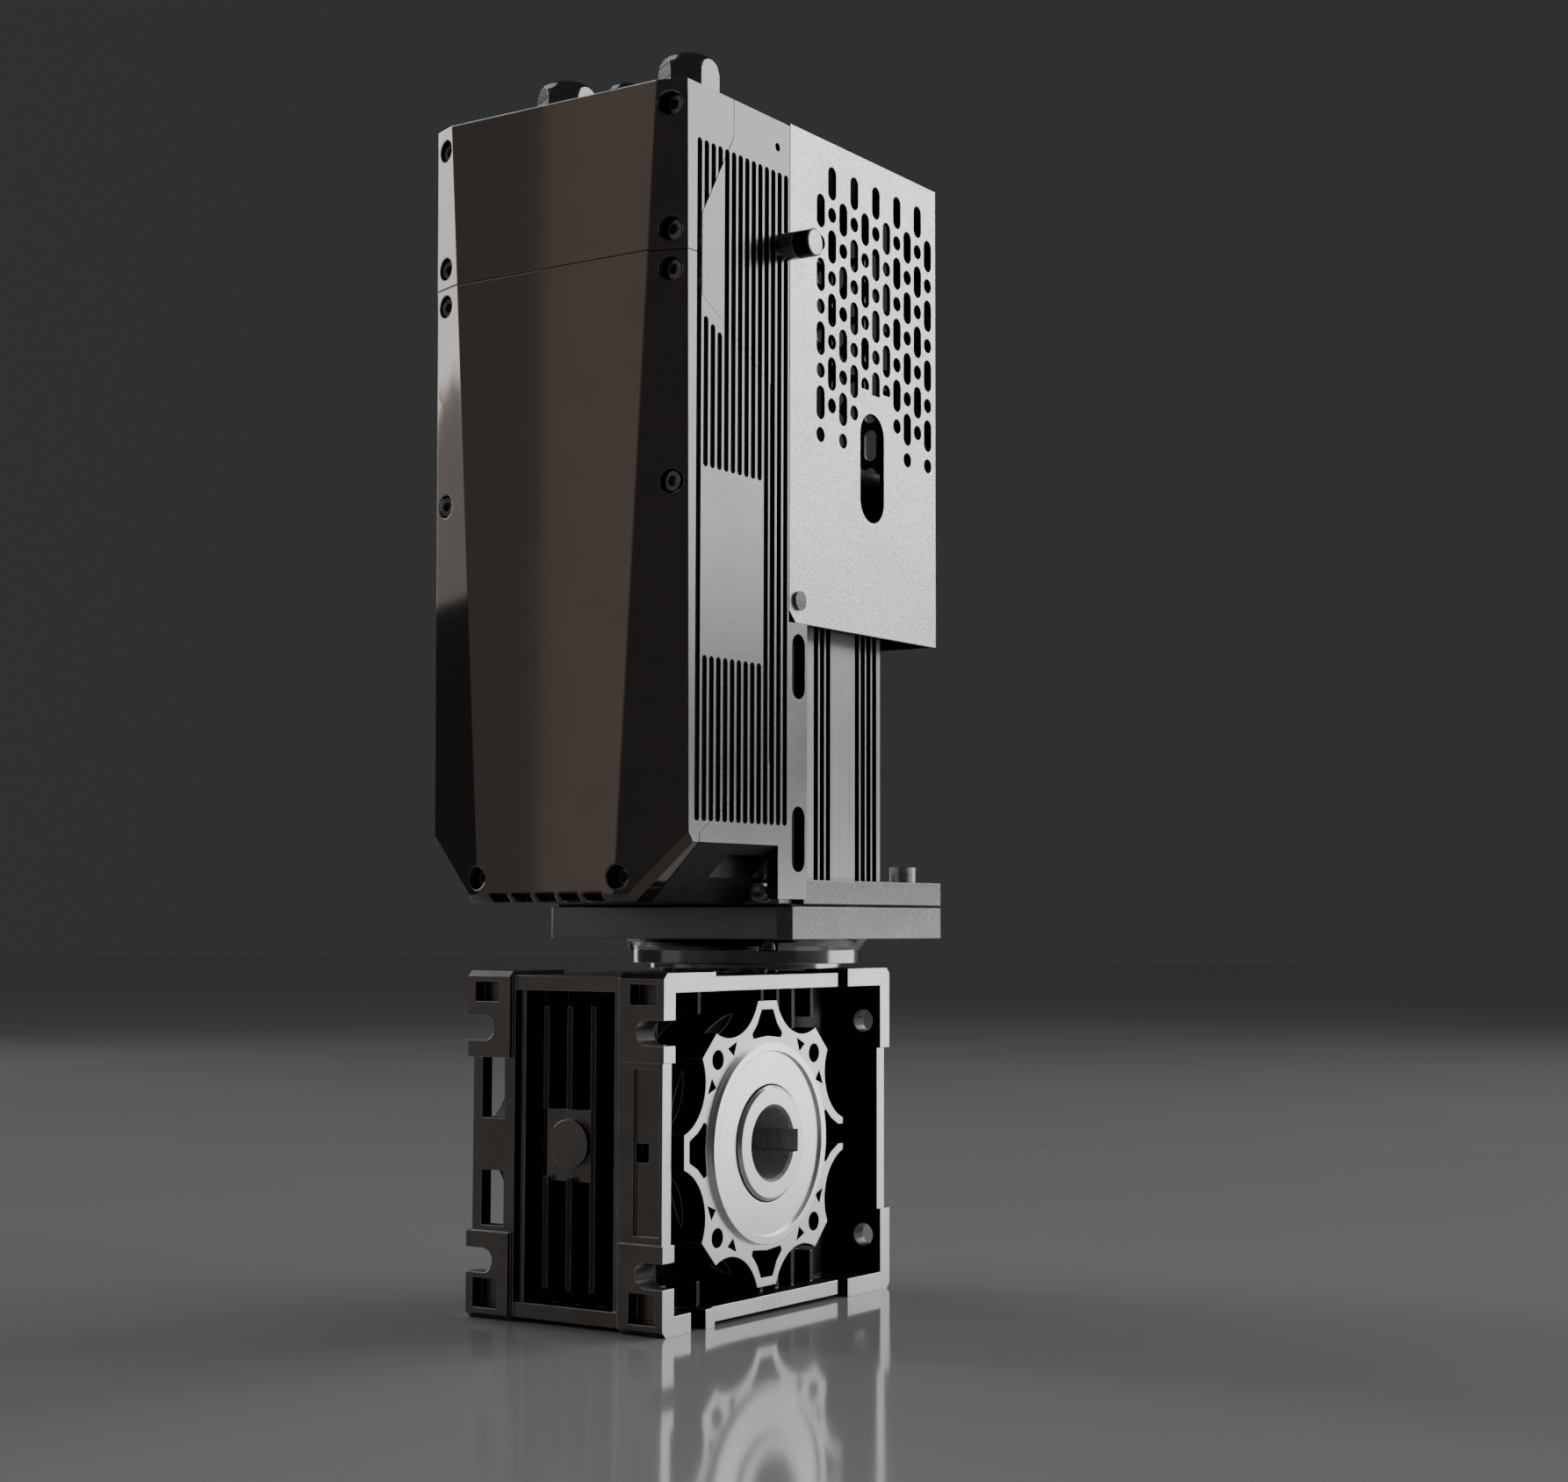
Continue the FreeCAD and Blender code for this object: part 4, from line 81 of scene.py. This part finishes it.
def grain(tree, shader, fac, depth, edge=0.0004):
    """Raises the surface by a texture, depth in metres, over edges broken to a small radius."""
    bump = tree.nodes.new("ShaderNodeBump")
    bump.inputs["Distance"].default_value = depth
    tree.links.new(broken_edges(tree, edge), bump.inputs["Normal"])
    tree.links.new(fac, bump.inputs["Height"])
    tree.links.new(bump.outputs["Normal"], shader.inputs["Normal"])


def blasted(name, dark, light, rough_low, rough_high, grain_size, depth, edge=0.0004):
    """Bare aluminium with an even blasted grain and a faint cloudiness."""
    material, tree, shader = finish(name, light, 1.0, rough_low)
    cloud = noise(tree, 45, 4)
    fine = noise(tree, 1 / grain_size, 2)
    tree.links.new(tint(tree, fine, dark, light), shader.inputs["Base Color"])
    tree.links.new(between(tree, cloud, rough_low, rough_high), shader.inputs["Roughness"])
    grain(tree, shader, fine, depth, edge)
    return material


def paint(names, material):
    """Gives whole nodes one finish."""
    for name in names:
        nodes[name].data.materials.clear()
        nodes[name].data.materials.append(material)


def paint_faces(name, finishes, pick):
    """Gives each face of a node the finish whose number pick returns."""
    mesh = nodes[name].data
    mesh.materials.clear()
    for material in finishes:
        mesh.materials.append(material)
    for face in mesh.polygons:
        face.material_index = int(pick(face.center, face.normal))


def maths(tree, operation, first, second):
    """Joins two values by an operation; the second may be a plain number."""
    node = tree.nodes.new("ShaderNodeMath")
    node.operation = operation
    tree.links.new(first, node.inputs[0])
    if isinstance(second, float):
        node.inputs[1].default_value = second
    else:
        tree.links.new(second, node.inputs[1])
    return node.outputs["Value"]


def painted_edge_highlights(tree, edge, above):
    """The mask of the painted edge highlights: 1 along the edges above a height and 0 elsewhere, a
    little patchy.
    """
    true_face = tree.nodes.new("ShaderNodeNewGeometry")
    across = tree.nodes.new("ShaderNodeVectorMath")
    across.operation = "DOT_PRODUCT"
    tree.links.new(broken_edges(tree, edge), across.inputs[0])
    tree.links.new(true_face.outputs["Normal"], across.inputs[1])
    edge_highlight = between(tree, across.outputs["Value"], 1.0, 0.0, 0.86, 0.985)
    patchy = maths(tree, "MULTIPLY", edge_highlight, between(tree, noise(tree, 120, 3), 0.55, 1.0))
    place = tree.nodes.new("ShaderNodeTexCoord")
    split = tree.nodes.new("ShaderNodeSeparateXYZ")
    tree.links.new(place.outputs["Object"], split.inputs["Vector"])
    return maths(tree, "MULTIPLY", patchy, maths(tree, "GREATER_THAN", split.outputs["Z"], above))


def dark_skin_with_painted_highlights(name, color, metallic, roughness, highlight_color, edge=0.0005, cloud=1.35,
              depth=0.00002, above=-1.0):
    """A dark skin whose edges above a height get a painted highlight, a bright metallic colour."""
    material, tree, shader = finish(name, color, metallic, roughness)
    painted_highlight = painted_edge_highlights(tree, edge, above)
    mix = tree.nodes.new("ShaderNodeMix")
    mix.data_type = "RGBA"
    tree.links.new(painted_highlight, mix.inputs["Factor"])
    lighter = tuple(c * cloud for c in color)
    tree.links.new(tint(tree, noise(tree, 60, 4), color, lighter), mix.inputs["A"])
    mix.inputs["B"].default_value = (*highlight_color, 1)
    tree.links.new(mix.outputs["Result"], shader.inputs["Base Color"])
    tree.links.new(between(tree, painted_highlight, metallic, 1.0, 0.0, 1.0), shader.inputs["Metallic"])
    smooth, rough = roughness * 0.87, roughness * 1.13
    tree.links.new(between(tree, noise(tree, 45, 4), smooth, rough), shader.inputs["Roughness"])
    grain(tree, shader, noise(tree, 1500, 2), depth, edge)
    return material


machined = blasted("machined_face", (0.74, 0.73, 0.74), (0.84, 0.83, 0.84), 0.30, 0.38,
                   0.0006, 0.00003)
turned_face = blasted("turned_face", (0.93, 0.93, 0.93), (0.98, 0.98, 0.98), 0.24, 0.28,
                      0.0005, 0.000002)
# painted highlight: the bright metallic colour given to the edges of the dark skins
edge_highlight_grey = (0.75, 0.75, 0.75)
# painted shade: the case's outer skin faces get a dark brown copy of the aluminium and its pockets
# a near-black one, both with painted edge highlights
case_painted_shade_skin = dark_skin_with_painted_highlights("case_painted_shade_skin", (0.165, 0.148, 0.134), 0.85, 0.34, edge_highlight_grey)
case_pocket_painted_shade = dark_skin_with_painted_highlights("case_pocket_painted_shade", (0.006, 0.006, 0.006), 0.0, 0.45, (0.70, 0.70, 0.70))
MACHINED, TURNED, SHADED_SKIN, POCKET_SHADE = range(4)

# metres from the middle of the output bore; the case is the same on both sides of it
end_face_x = 0.0409
spigot_x, spigot_face_radius, spigot_side_radius = 0.0432, 0.0352, 0.0358
back_hole_y, back_hole_z, back_hole_radius = 0.0700, 0.0400, 0.0056
foot_hole_x, foot_hole_end_x, foot_hole_y = 0.0330, 0.0440, -0.0500
foot_hole_z, foot_hole_radius = 0.0400, 0.0048
front_skin_y, back_skin_y, top_skin_z = -0.0530, 0.0815, 0.0580
recess_half, recess_low, recess_high = 0.0128, 0.0150, 0.0500


def case_finish(spot, normal):
    """Machined end faces and drilled holes bright; the outside skin darkened and the pockets
    black, both as painted shade.
    """
    x, y, z = abs(spot.x), spot.y, abs(spot.z)
    sideways = abs(normal.x)
    radius = math.hypot(y, z)
    if x > end_face_x and sideways > 0.99:
        return TURNED if radius < spigot_face_radius and x > spigot_x else MACHINED
    if x > end_face_x and radius < spigot_side_radius:
        return TURNED
    if sideways < 0.3 and math.hypot(y - back_hole_y, z - back_hole_z) < back_hole_radius:
        return TURNED
    at_foot = foot_hole_x < x < foot_hole_end_x and y < foot_hole_y
    if at_foot and abs(z - foot_hole_z) < foot_hole_radius and abs(normal.y) < 0.2:
        return MACHINED
    if y < front_skin_y and x < recess_half and recess_low < z < recess_high:
        return POCKET_SHADE
    outermost = y < front_skin_y or y > back_skin_y or z > top_skin_z
    return SHADED_SKIN if outermost and sideways < 0.9 else POCKET_SHADE


for name in ("gearbox_housing", "side_cover"):
    paint_faces(name, (machined, turned_face, case_painted_shade_skin, case_pocket_painted_shade), case_finish)
# the neck is dark grey all over, with painted highlights along all its edges
neck_skin = dark_skin_with_painted_highlights("neck_skin", (0.27, 0.27, 0.27), 1.0, 0.14, edge_highlight_grey)
paint(["input_neck"], neck_skin)


# Hollow output shaft.
# Hardened steel tube with a keyway cut through its length; its ends are turned bright and its
# bore is phosphated grey. It turns in two sealed bearings. The plain steel parts follow it.
def turned_steel(name, dark, light, rough_low, rough_high, axis, depth=0.00001):
    """Steel with fine turning lines round an axis."""
    material, tree, shader = finish(name, light, 1.0, rough_low)
    across, along = 900, 12
    stretch = tuple(across if k == axis else along for k in range(3))
    lines = noise(tree, 1.0, 2, stretch)
    tree.links.new(tint(tree, lines, dark, light), shader.inputs["Base Color"])
    tree.links.new(between(tree, lines, rough_low, rough_high), shader.inputs["Roughness"])
    grain(tree, shader, lines, depth)
    return material


X, Z = 0, 2
bore_steel = turned_steel("bore_steel", (0.74, 0.74, 0.75), (0.90, 0.90, 0.91), 0.22, 0.32, X)
bore_grey, bore_tree, bore_shader = finish("phosphated_bore", (0.30, 0.30, 0.30), 0.0, 0.5)
bore_speck = noise(bore_tree, 1400, 3)
bore_color = tint(bore_tree, bore_speck, (0.30, 0.29, 0.29), (0.62, 0.61, 0.61))
bore_tree.links.new(bore_color, bore_shader.inputs["Base Color"])
bore_roughness = between(bore_tree, noise(bore_tree, 200), 0.42, 0.58)
bore_tree.links.new(bore_roughness, bore_shader.inputs["Roughness"])
grain(bore_tree, bore_shader, bore_speck, 0.00003)
keyway_radius = 0.0155


def in_bore(spot, normal):
    """True on the bore and its keyway."""
    return math.hypot(spot.y, spot.z) < keyway_radius and abs(normal.x) < 0.9


paint_faces("hollow_output_shaft", (bore_steel, bore_grey), in_bore)
steel = turned_steel("steel", (0.48, 0.48, 0.49), (0.60, 0.60, 0.61), 0.2, 0.35, Z)
paint(["worm_shaft", "motor_shaft", "shaft_key", "brake_armature", "plunger_collar",
       "release_pin"], steel)


# Bronze wheel rim, rolling bearings and seals.
# Centrifugally cast bronze shrunk on the steel hub; bearing rings are ground and polished, with
# pressed steel shields; the output seals have pressed steel cases and the input seal is rubber.
bronze = turned_steel("bronze", (0.52, 0.33, 0.13), (0.70, 0.48, 0.22), 0.25, 0.4, X)
paint(["worm_wheel_rim"], bronze)
bearing_steel = turned_steel("bearing_steel", (0.60, 0.60, 0.62), (0.72, 0.72, 0.74), 0.12, 0.25,
                             X)
for shaft in ("output", "worm", "motor"):
    paint([shaft + "_bearing_outer_rings", shaft + "_bearing_inner_rings"], bearing_steel)


def moulded(name, dark, light, rough_low, rough_high, size, depth):
    """Plastic or rubber with a moulded texture."""
    material, tree, shader = finish(name, light, 0.0, rough_low)
    fine = noise(tree, 1 / size, 3)
    cloud = noise(tree, 60, 3)
    tree.links.new(tint(tree, cloud, dark, light), shader.inputs["Base Color"])
    tree.links.new(between(tree, cloud, rough_low, rough_high), shader.inputs["Roughness"])
    grain(tree, shader, fine, depth)
    return material


seal_rubber = moulded("seal_rubber", (0.012, 0.012, 0.013), (0.022, 0.022, 0.024), 0.5, 0.65,
                      0.0004, 0.00002)
paint(["input_oil_seal", "flange_gasket"], seal_rubber)
paint(["output_oil_seals"], bearing_steel)
black_plastic = moulded("black_plastic", (0.012, 0.012, 0.013), (0.02, 0.02, 0.022), 0.4, 0.55,
                        0.0005, 0.00003)
paint(["worm_end_cap", "encoder_cap", "power_module"], black_plastic)


# Adapter plate and motor flange.
# Two aluminium plates milled all over and fine-blasted, with a thin gasket between them; four
# cap screws clamp them at their corners. The rear bell and the heat spreader are made alike.
plate_aluminium = blasted("machined_aluminium", (0.175, 0.171, 0.174), (0.260, 0.254, 0.258),
                          0.26, 0.33, 0.0008, 0.00003, 0.0006)
paint(["adapter_plate", "motor_flange", "rear_end_bell", "heat_spreader"], plate_aluminium)


# Motor frame and braking resistor.
# Drawn aluminium profiles; fine lines run along the drawing direction. The motor frame's flats
# and cut corners are bare, and its long grooves are painted black as painted shade.
def drawn(name, dark, light, rough_low, rough_high):
    """Aluminium with fine lines along its height."""
    material, tree, shader = finish(name, light, 1.0, rough_low)
    across, along = 1800, 14
    lines = noise(tree, 1.0, 3, (across, across, along))
    fine = noise(tree, 1600, 2)
    tree.links.new(tint(tree, lines, dark, light), shader.inputs["Base Color"])
    tree.links.new(between(tree, lines, rough_low, rough_high), shader.inputs["Roughness"])
    grain(tree, shader, fine, 0.00002)
    return material


extruded_aluminium = drawn("extruded_aluminium", (0.335, 0.328, 0.335), (0.410, 0.402, 0.410),
                           0.28, 0.38)
paint(["braking_resistor"], extruded_aluminium)
# painted shade: a near-black finish for grooves, slots, holes and hollows that lie in shadow
painted_shade_color = (0.010, 0.010, 0.010)
painted_shade_black, painted_shade_tree, painted_shade_shader = finish("black_painted_shade", painted_shade_color, 0.0, 0.45)
painted_shade_roughness = between(painted_shade_tree, noise(painted_shade_tree, 300, 3), 0.38, 0.52)
painted_shade_tree.links.new(painted_shade_roughness, painted_shade_shader.inputs["Roughness"])
motor_axis_y = 0.05
frame_flat, frame_corner = 0.0428, 0.0690


def on_frame(spot, normal):
    """True on the profile's flats and on its cut corners."""
    x, y = abs(spot.x), abs(spot.y - motor_axis_y)
    return max(x, y) > frame_flat or x + y > frame_corner


# the grooves between the flats get the painted shade
paint_faces("motor_frame", (painted_shade_black, extruded_aluminium), on_frame)


# Inner parts of the motor, brake, encoder and drive.
# Stacked electrical sheet, varnished copper coils, nickel-coated magnets, a pressed friction
# lining, a blackened magnet body and knob, an etched glass disc, and boards with their parts.
lamination = turned_steel("lamination", (0.25, 0.25, 0.27), (0.42, 0.42, 0.44), 0.35, 0.5, Z)
paint(["stator_core", "rotor_core"], lamination)
copper = turned_steel("copper_winding", (0.40, 0.14, 0.05), (0.66, 0.30, 0.14), 0.3, 0.45, Z)
paint(["stator_windings"], copper)
magnet_nickel = turned_steel("magnet", (0.32, 0.32, 0.33), (0.42, 0.42, 0.43), 0.25, 0.35, Z)
paint(["rotor_magnets"], magnet_nickel)
lining = moulded("friction", (0.10, 0.08, 0.06), (0.18, 0.14, 0.11), 0.7, 0.85, 0.0012, 0.00008)
paint(["brake_friction_disc"], lining)
blackened, blackened_tree, blackened_shader = finish("black_steel", (0.03, 0.03, 0.032), 0.9, 0.35)
blackened_roughness = between(blackened_tree, noise(blackened_tree, 200, 4), 0.28, 0.42)
blackened_tree.links.new(blackened_roughness, blackened_shader.inputs["Roughness"])
paint(["brake_body", "release_knob"], blackened)
disc_glass = moulded("encoder_glass", (0.40, 0.46, 0.48), (0.50, 0.55, 0.57), 0.08, 0.15,
                     0.002, 0.000001)
paint(["encoder_disc"], disc_glass)
board = moulded("circuit_board", (0.010, 0.09, 0.045), (0.016, 0.13, 0.07), 0.25, 0.4,
                0.0015, 0.00003)
paint(["encoder_board", "power_board", "control_board"], board)
sleeve = moulded("capacitor_sleeve", (0.02, 0.024, 0.05), (0.03, 0.035, 0.07), 0.25, 0.35,
                 0.002, 0.00001)
paint(["dc_link_capacitors"], sleeve)
green = moulded("green_plastic", (0.02, 0.16, 0.07), (0.03, 0.22, 0.10), 0.4, 0.5, 0.0008, 0.00002)
paint(["terminal_block"], green)


# Drive housing and top plate.
# One deep aluminium casting with slotted cooling sides, whose flats are painted satin grey; all
# its other faces, the slots and the recess below included, are painted black as painted shade.
# The top plate is a milled sheet of the same grey, screwed on under the cable glands.
satin_grey = blasted("satin_grey_paint", (0.262, 0.256, 0.258), (0.302, 0.296, 0.298), 0.24, 0.29,
                     0.0004, 0.00001, 0.0002)
paint(["top_plate"], satin_grey)
side_flat_x = 0.0545


def on_side(spot, normal):
    """True on the two flat sides of the housing and its covers."""
    return abs(normal.x) > 0.99 and abs(spot.x) > side_flat_x


# painted shade: every face off the two flat sides, slots and recesses included, gets the
# near-black finish
paint_faces("drive_housing", (painted_shade_black, satin_grey), on_side)


# Front covers.
# Two aluminium covers with glossy dark fronts and a painted highlight along their top edge; their
# sides are grey as the housing's and carry the same cooling slots. Screws in counterbores hold
# them.
top_edge_z = 0.355
# painted highlight: edges above top_edge_z get a bright metallic colour
front_black = dark_skin_with_painted_highlights("front_cover_black", (0.150, 0.130, 0.115), 0.9, 0.055, (0.85, 0.85, 0.85),
                        0.0009, 1.04, 0.0000006, top_edge_z)
for name in ("upper_front_cover", "lower_front_cover"):
    paint_faces(name, (front_black, satin_grey), on_side)


# Screws.
# Steel socket screws, zinc-plated on the gearbox, flanges and earth point, and blackened in the
# neck and on the front and rear covers.
zinc = turned_steel("zinc_screw", (0.45, 0.45, 0.46), (0.60, 0.60, 0.60), 0.25, 0.4, Z)
paint(["side_cover_screws", "flange_screws", "end_bell_screws", "earth_screw"], zinc)
black_oxide = turned_steel("black_oxide_screw", (0.10, 0.10, 0.10), (0.20, 0.20, 0.20),
                           0.16, 0.28, Z)
paint(["neck_screws", "front_cover_screws", "rear_cover_screws"], black_oxide)


# Cable glands and board spacers.
# Nickel-plated brass: each gland is a hexagonal body screwed through the top plate and a domed
# nut. The spacers that carry the boards are turned from the same bar.
nickel = turned_steel("nickel_brass", (0.27, 0.265, 0.26), (0.32, 0.315, 0.31), 0.14, 0.22, Z,
                      0.0000004)
paint(["large_gland_bodies", "large_gland_nuts", "small_gland_body", "small_gland_nut",
       "board_spacers"], nickel)


# Perforated rear cover.
# Folded 1.5 mm aluminium sheet, punched with round and long holes, bead-blasted and clear
# anodised so that it glitters finely; its inside and the walls of its holes are painted black as
# painted shade. One screw on each side holds it to the housing's ears.
perforated = blasted("perforated_sheet", (0.62, 0.612, 0.62), (0.97, 0.96, 0.97), 0.38, 0.44,
                     0.0010, 0.00012)
sheet_side_x, sheet_back_y, sheet_top_z = 0.0552, 0.0974, 0.3609


def on_sheet(spot, normal):
    """True on the outside of the folded sheet, not on its inside or in its holes."""
    return (abs(spot.x) > sheet_side_x and abs(normal.x) > 0.9
            or spot.y > sheet_back_y and normal.y > 0.9
            or spot.z > sheet_top_z and normal.z > 0.9)


# painted shade: the sheet's inside and its hole walls get the near-black finish
paint_faces("rear_perforated_cover", (painted_shade_black, perforated), on_sheet)


# Plunger spring.
# Hard-drawn steel wire, coiled round the release pin. It pushes the pin in again when the
# knob is let go.
wire = turned_steel("spring_steel", (0.36, 0.36, 0.38), (0.48, 0.48, 0.50), 0.2, 0.3, X)
paint(["plunger_spring"], wire)


# Studio.
# A pale polished floor in a dim room that is brighter behind to the right, with soft panels all
# round: those behind show in the top and the right side, those in front and left in the front.
def plane(name, size, location, material):
    """A square sheet lying flat."""
    mesh = bpy.data.meshes.new(name)
    half = size / 2
    corners = [(-half, -half, 0), (half, -half, 0), (half, half, 0), (-half, half, 0)]
    mesh.from_pydata(corners, [], [(0, 1, 2, 3)])
    item = bpy.data.objects.new(name, mesh)
    item.location = location
    mesh.materials.append(material)
    bpy.context.scene.collection.objects.link(item)
    return item


floor_paint, floor_tree, floor_shader = finish("floor_paint", (0.52, 0.52, 0.53), 0.0, 0.16)
floor_roughness = between(floor_tree, noise(floor_tree, 6, 3), 0.07, 0.10)
floor_tree.links.new(floor_roughness, floor_shader.inputs["Roughness"])
floor_size, floor_z = 14.0, -0.06
plane("floor", floor_size, (0, 0, floor_z), floor_paint)

world = bpy.data.worlds.new("studio")
world.use_nodes = True
sky = world.node_tree
direction = sky.nodes.new("ShaderNodeTexCoord")
towards = sky.nodes.new("ShaderNodeVectorMath")
towards.operation = "DOT_PRODUCT"
behind_right = (0.553, 0.833, 0)
towards.inputs[1].default_value = behind_right
sky.links.new(direction.outputs["Generated"], towards.inputs[0])
spread = sky.nodes.new("ShaderNodeMapRange")
spread.inputs["From Min"].default_value = -1
sky.links.new(towards.outputs["Value"], spread.inputs["Value"])
shade = sky.nodes.new("ShaderNodeValToRGB")
shade.color_ramp.interpolation = "EASE"
stops = [(0.0, (0.040, 0.040, 0.041)), (0.84, (0.036, 0.037, 0.038)), (1.0, (0.25, 0.25, 0.25))]
while len(shade.color_ramp.elements) < len(stops):
    shade.color_ramp.elements.new(0.5)
for stop, (position, color) in zip(shade.color_ramp.elements, stops):
    stop.position = position
    stop.color = (*color, 1)
sky.links.new(spread.outputs["Result"], shade.inputs["Fac"])
sky.links.new(shade.outputs["Color"], sky.nodes["Background"].inputs["Color"])
bpy.context.scene.world = world


def panel(name, energy, size, location, target, color=(1, 1, 1)):
    """A soft light of a width and height in metres, turned to face a point."""
    light = bpy.data.lights.new(name, "AREA")
    light.shape = "RECTANGLE"
    light.size, light.size_y = size
    light.energy = energy
    light.color = color
    item = bpy.data.objects.new(name, light)
    item.location = location
    item.rotation_euler = (Vector(target) - Vector(location)).to_track_quat("-Z", "Y").to_euler()
    bpy.context.scene.collection.objects.link(item)


middle = (0, 0, 0.15)
panel("back_right_panel", 16, (1.6, 1.5), (1.15, 1.75, 1.17), (0, 0, 0.27))
panel("back_right_low_panel", 2.1, (1.6, 0.15), (1.12, 1.70, 0.018), (0, 0, 0.018))
panel("back_high_panel", 4, (0.9, 0.6), (0.30, 1.80, 1.25), middle)
panel("front_left_panel", 1.10, (1.1, 1.5), (-0.804, -1.890, 0.85), (-0.024, -0.06, 0.85),
      (1.0, 0.86, 0.77))
panel("front_left_wide_panel", 0.92, (0.9, 1.9), (-1.52, -1.45, 0.90), (0, -0.07, 0.90),
      (1.0, 0.95, 0.93))
panel("front_panel", 0.2, (0.8, 1.6), (0.15, -2.05, 0.85), (0, 0, 0.85))
panel("right_panel", 5, (1.1, 1.5), (2.0, 0.4, 0.9), (0, 0, 0.3))
panel("left_panel", 6.5, (0.5, 1.2), (-1.95, -0.22, 1.00), (0, 0, 0.45))
panel("left_low_panel", 0.9, (0.5, 1.0), (-1.85, -0.66, 0.90), (0, 0, 0.4))
panel("back_left_strip", 4, (0.3, 1.8), (-1.9, 0.7, 0.8), middle)
panel("top_left_panel", 2.5, (1.0, 1.0), (-1.1, -0.1, 1.7), (0, 0, 0.3))

camera = bpy.data.cameras.new("camera")
camera.sensor_width = 36
camera.lens = 58.15
eye = bpy.data.objects.new("camera", camera)
azimuth, pitch, roll = math.radians(33.675), math.radians(4.104), math.radians(0.1364)
level = math.cos(pitch)
forward = Vector((-math.sin(azimuth) * level, math.cos(azimuth) * level, math.sin(pitch)))
eye.location = (0.54442, -0.74175, 0.07689)
turn = forward.to_track_quat("-Z", "Y").to_matrix().to_4x4()
eye.matrix_world = Matrix.Translation(eye.location) @ turn @ Matrix.Rotation(roll, 4, "Z")
bpy.context.scene.collection.objects.link(eye)
bpy.context.scene.camera = eye
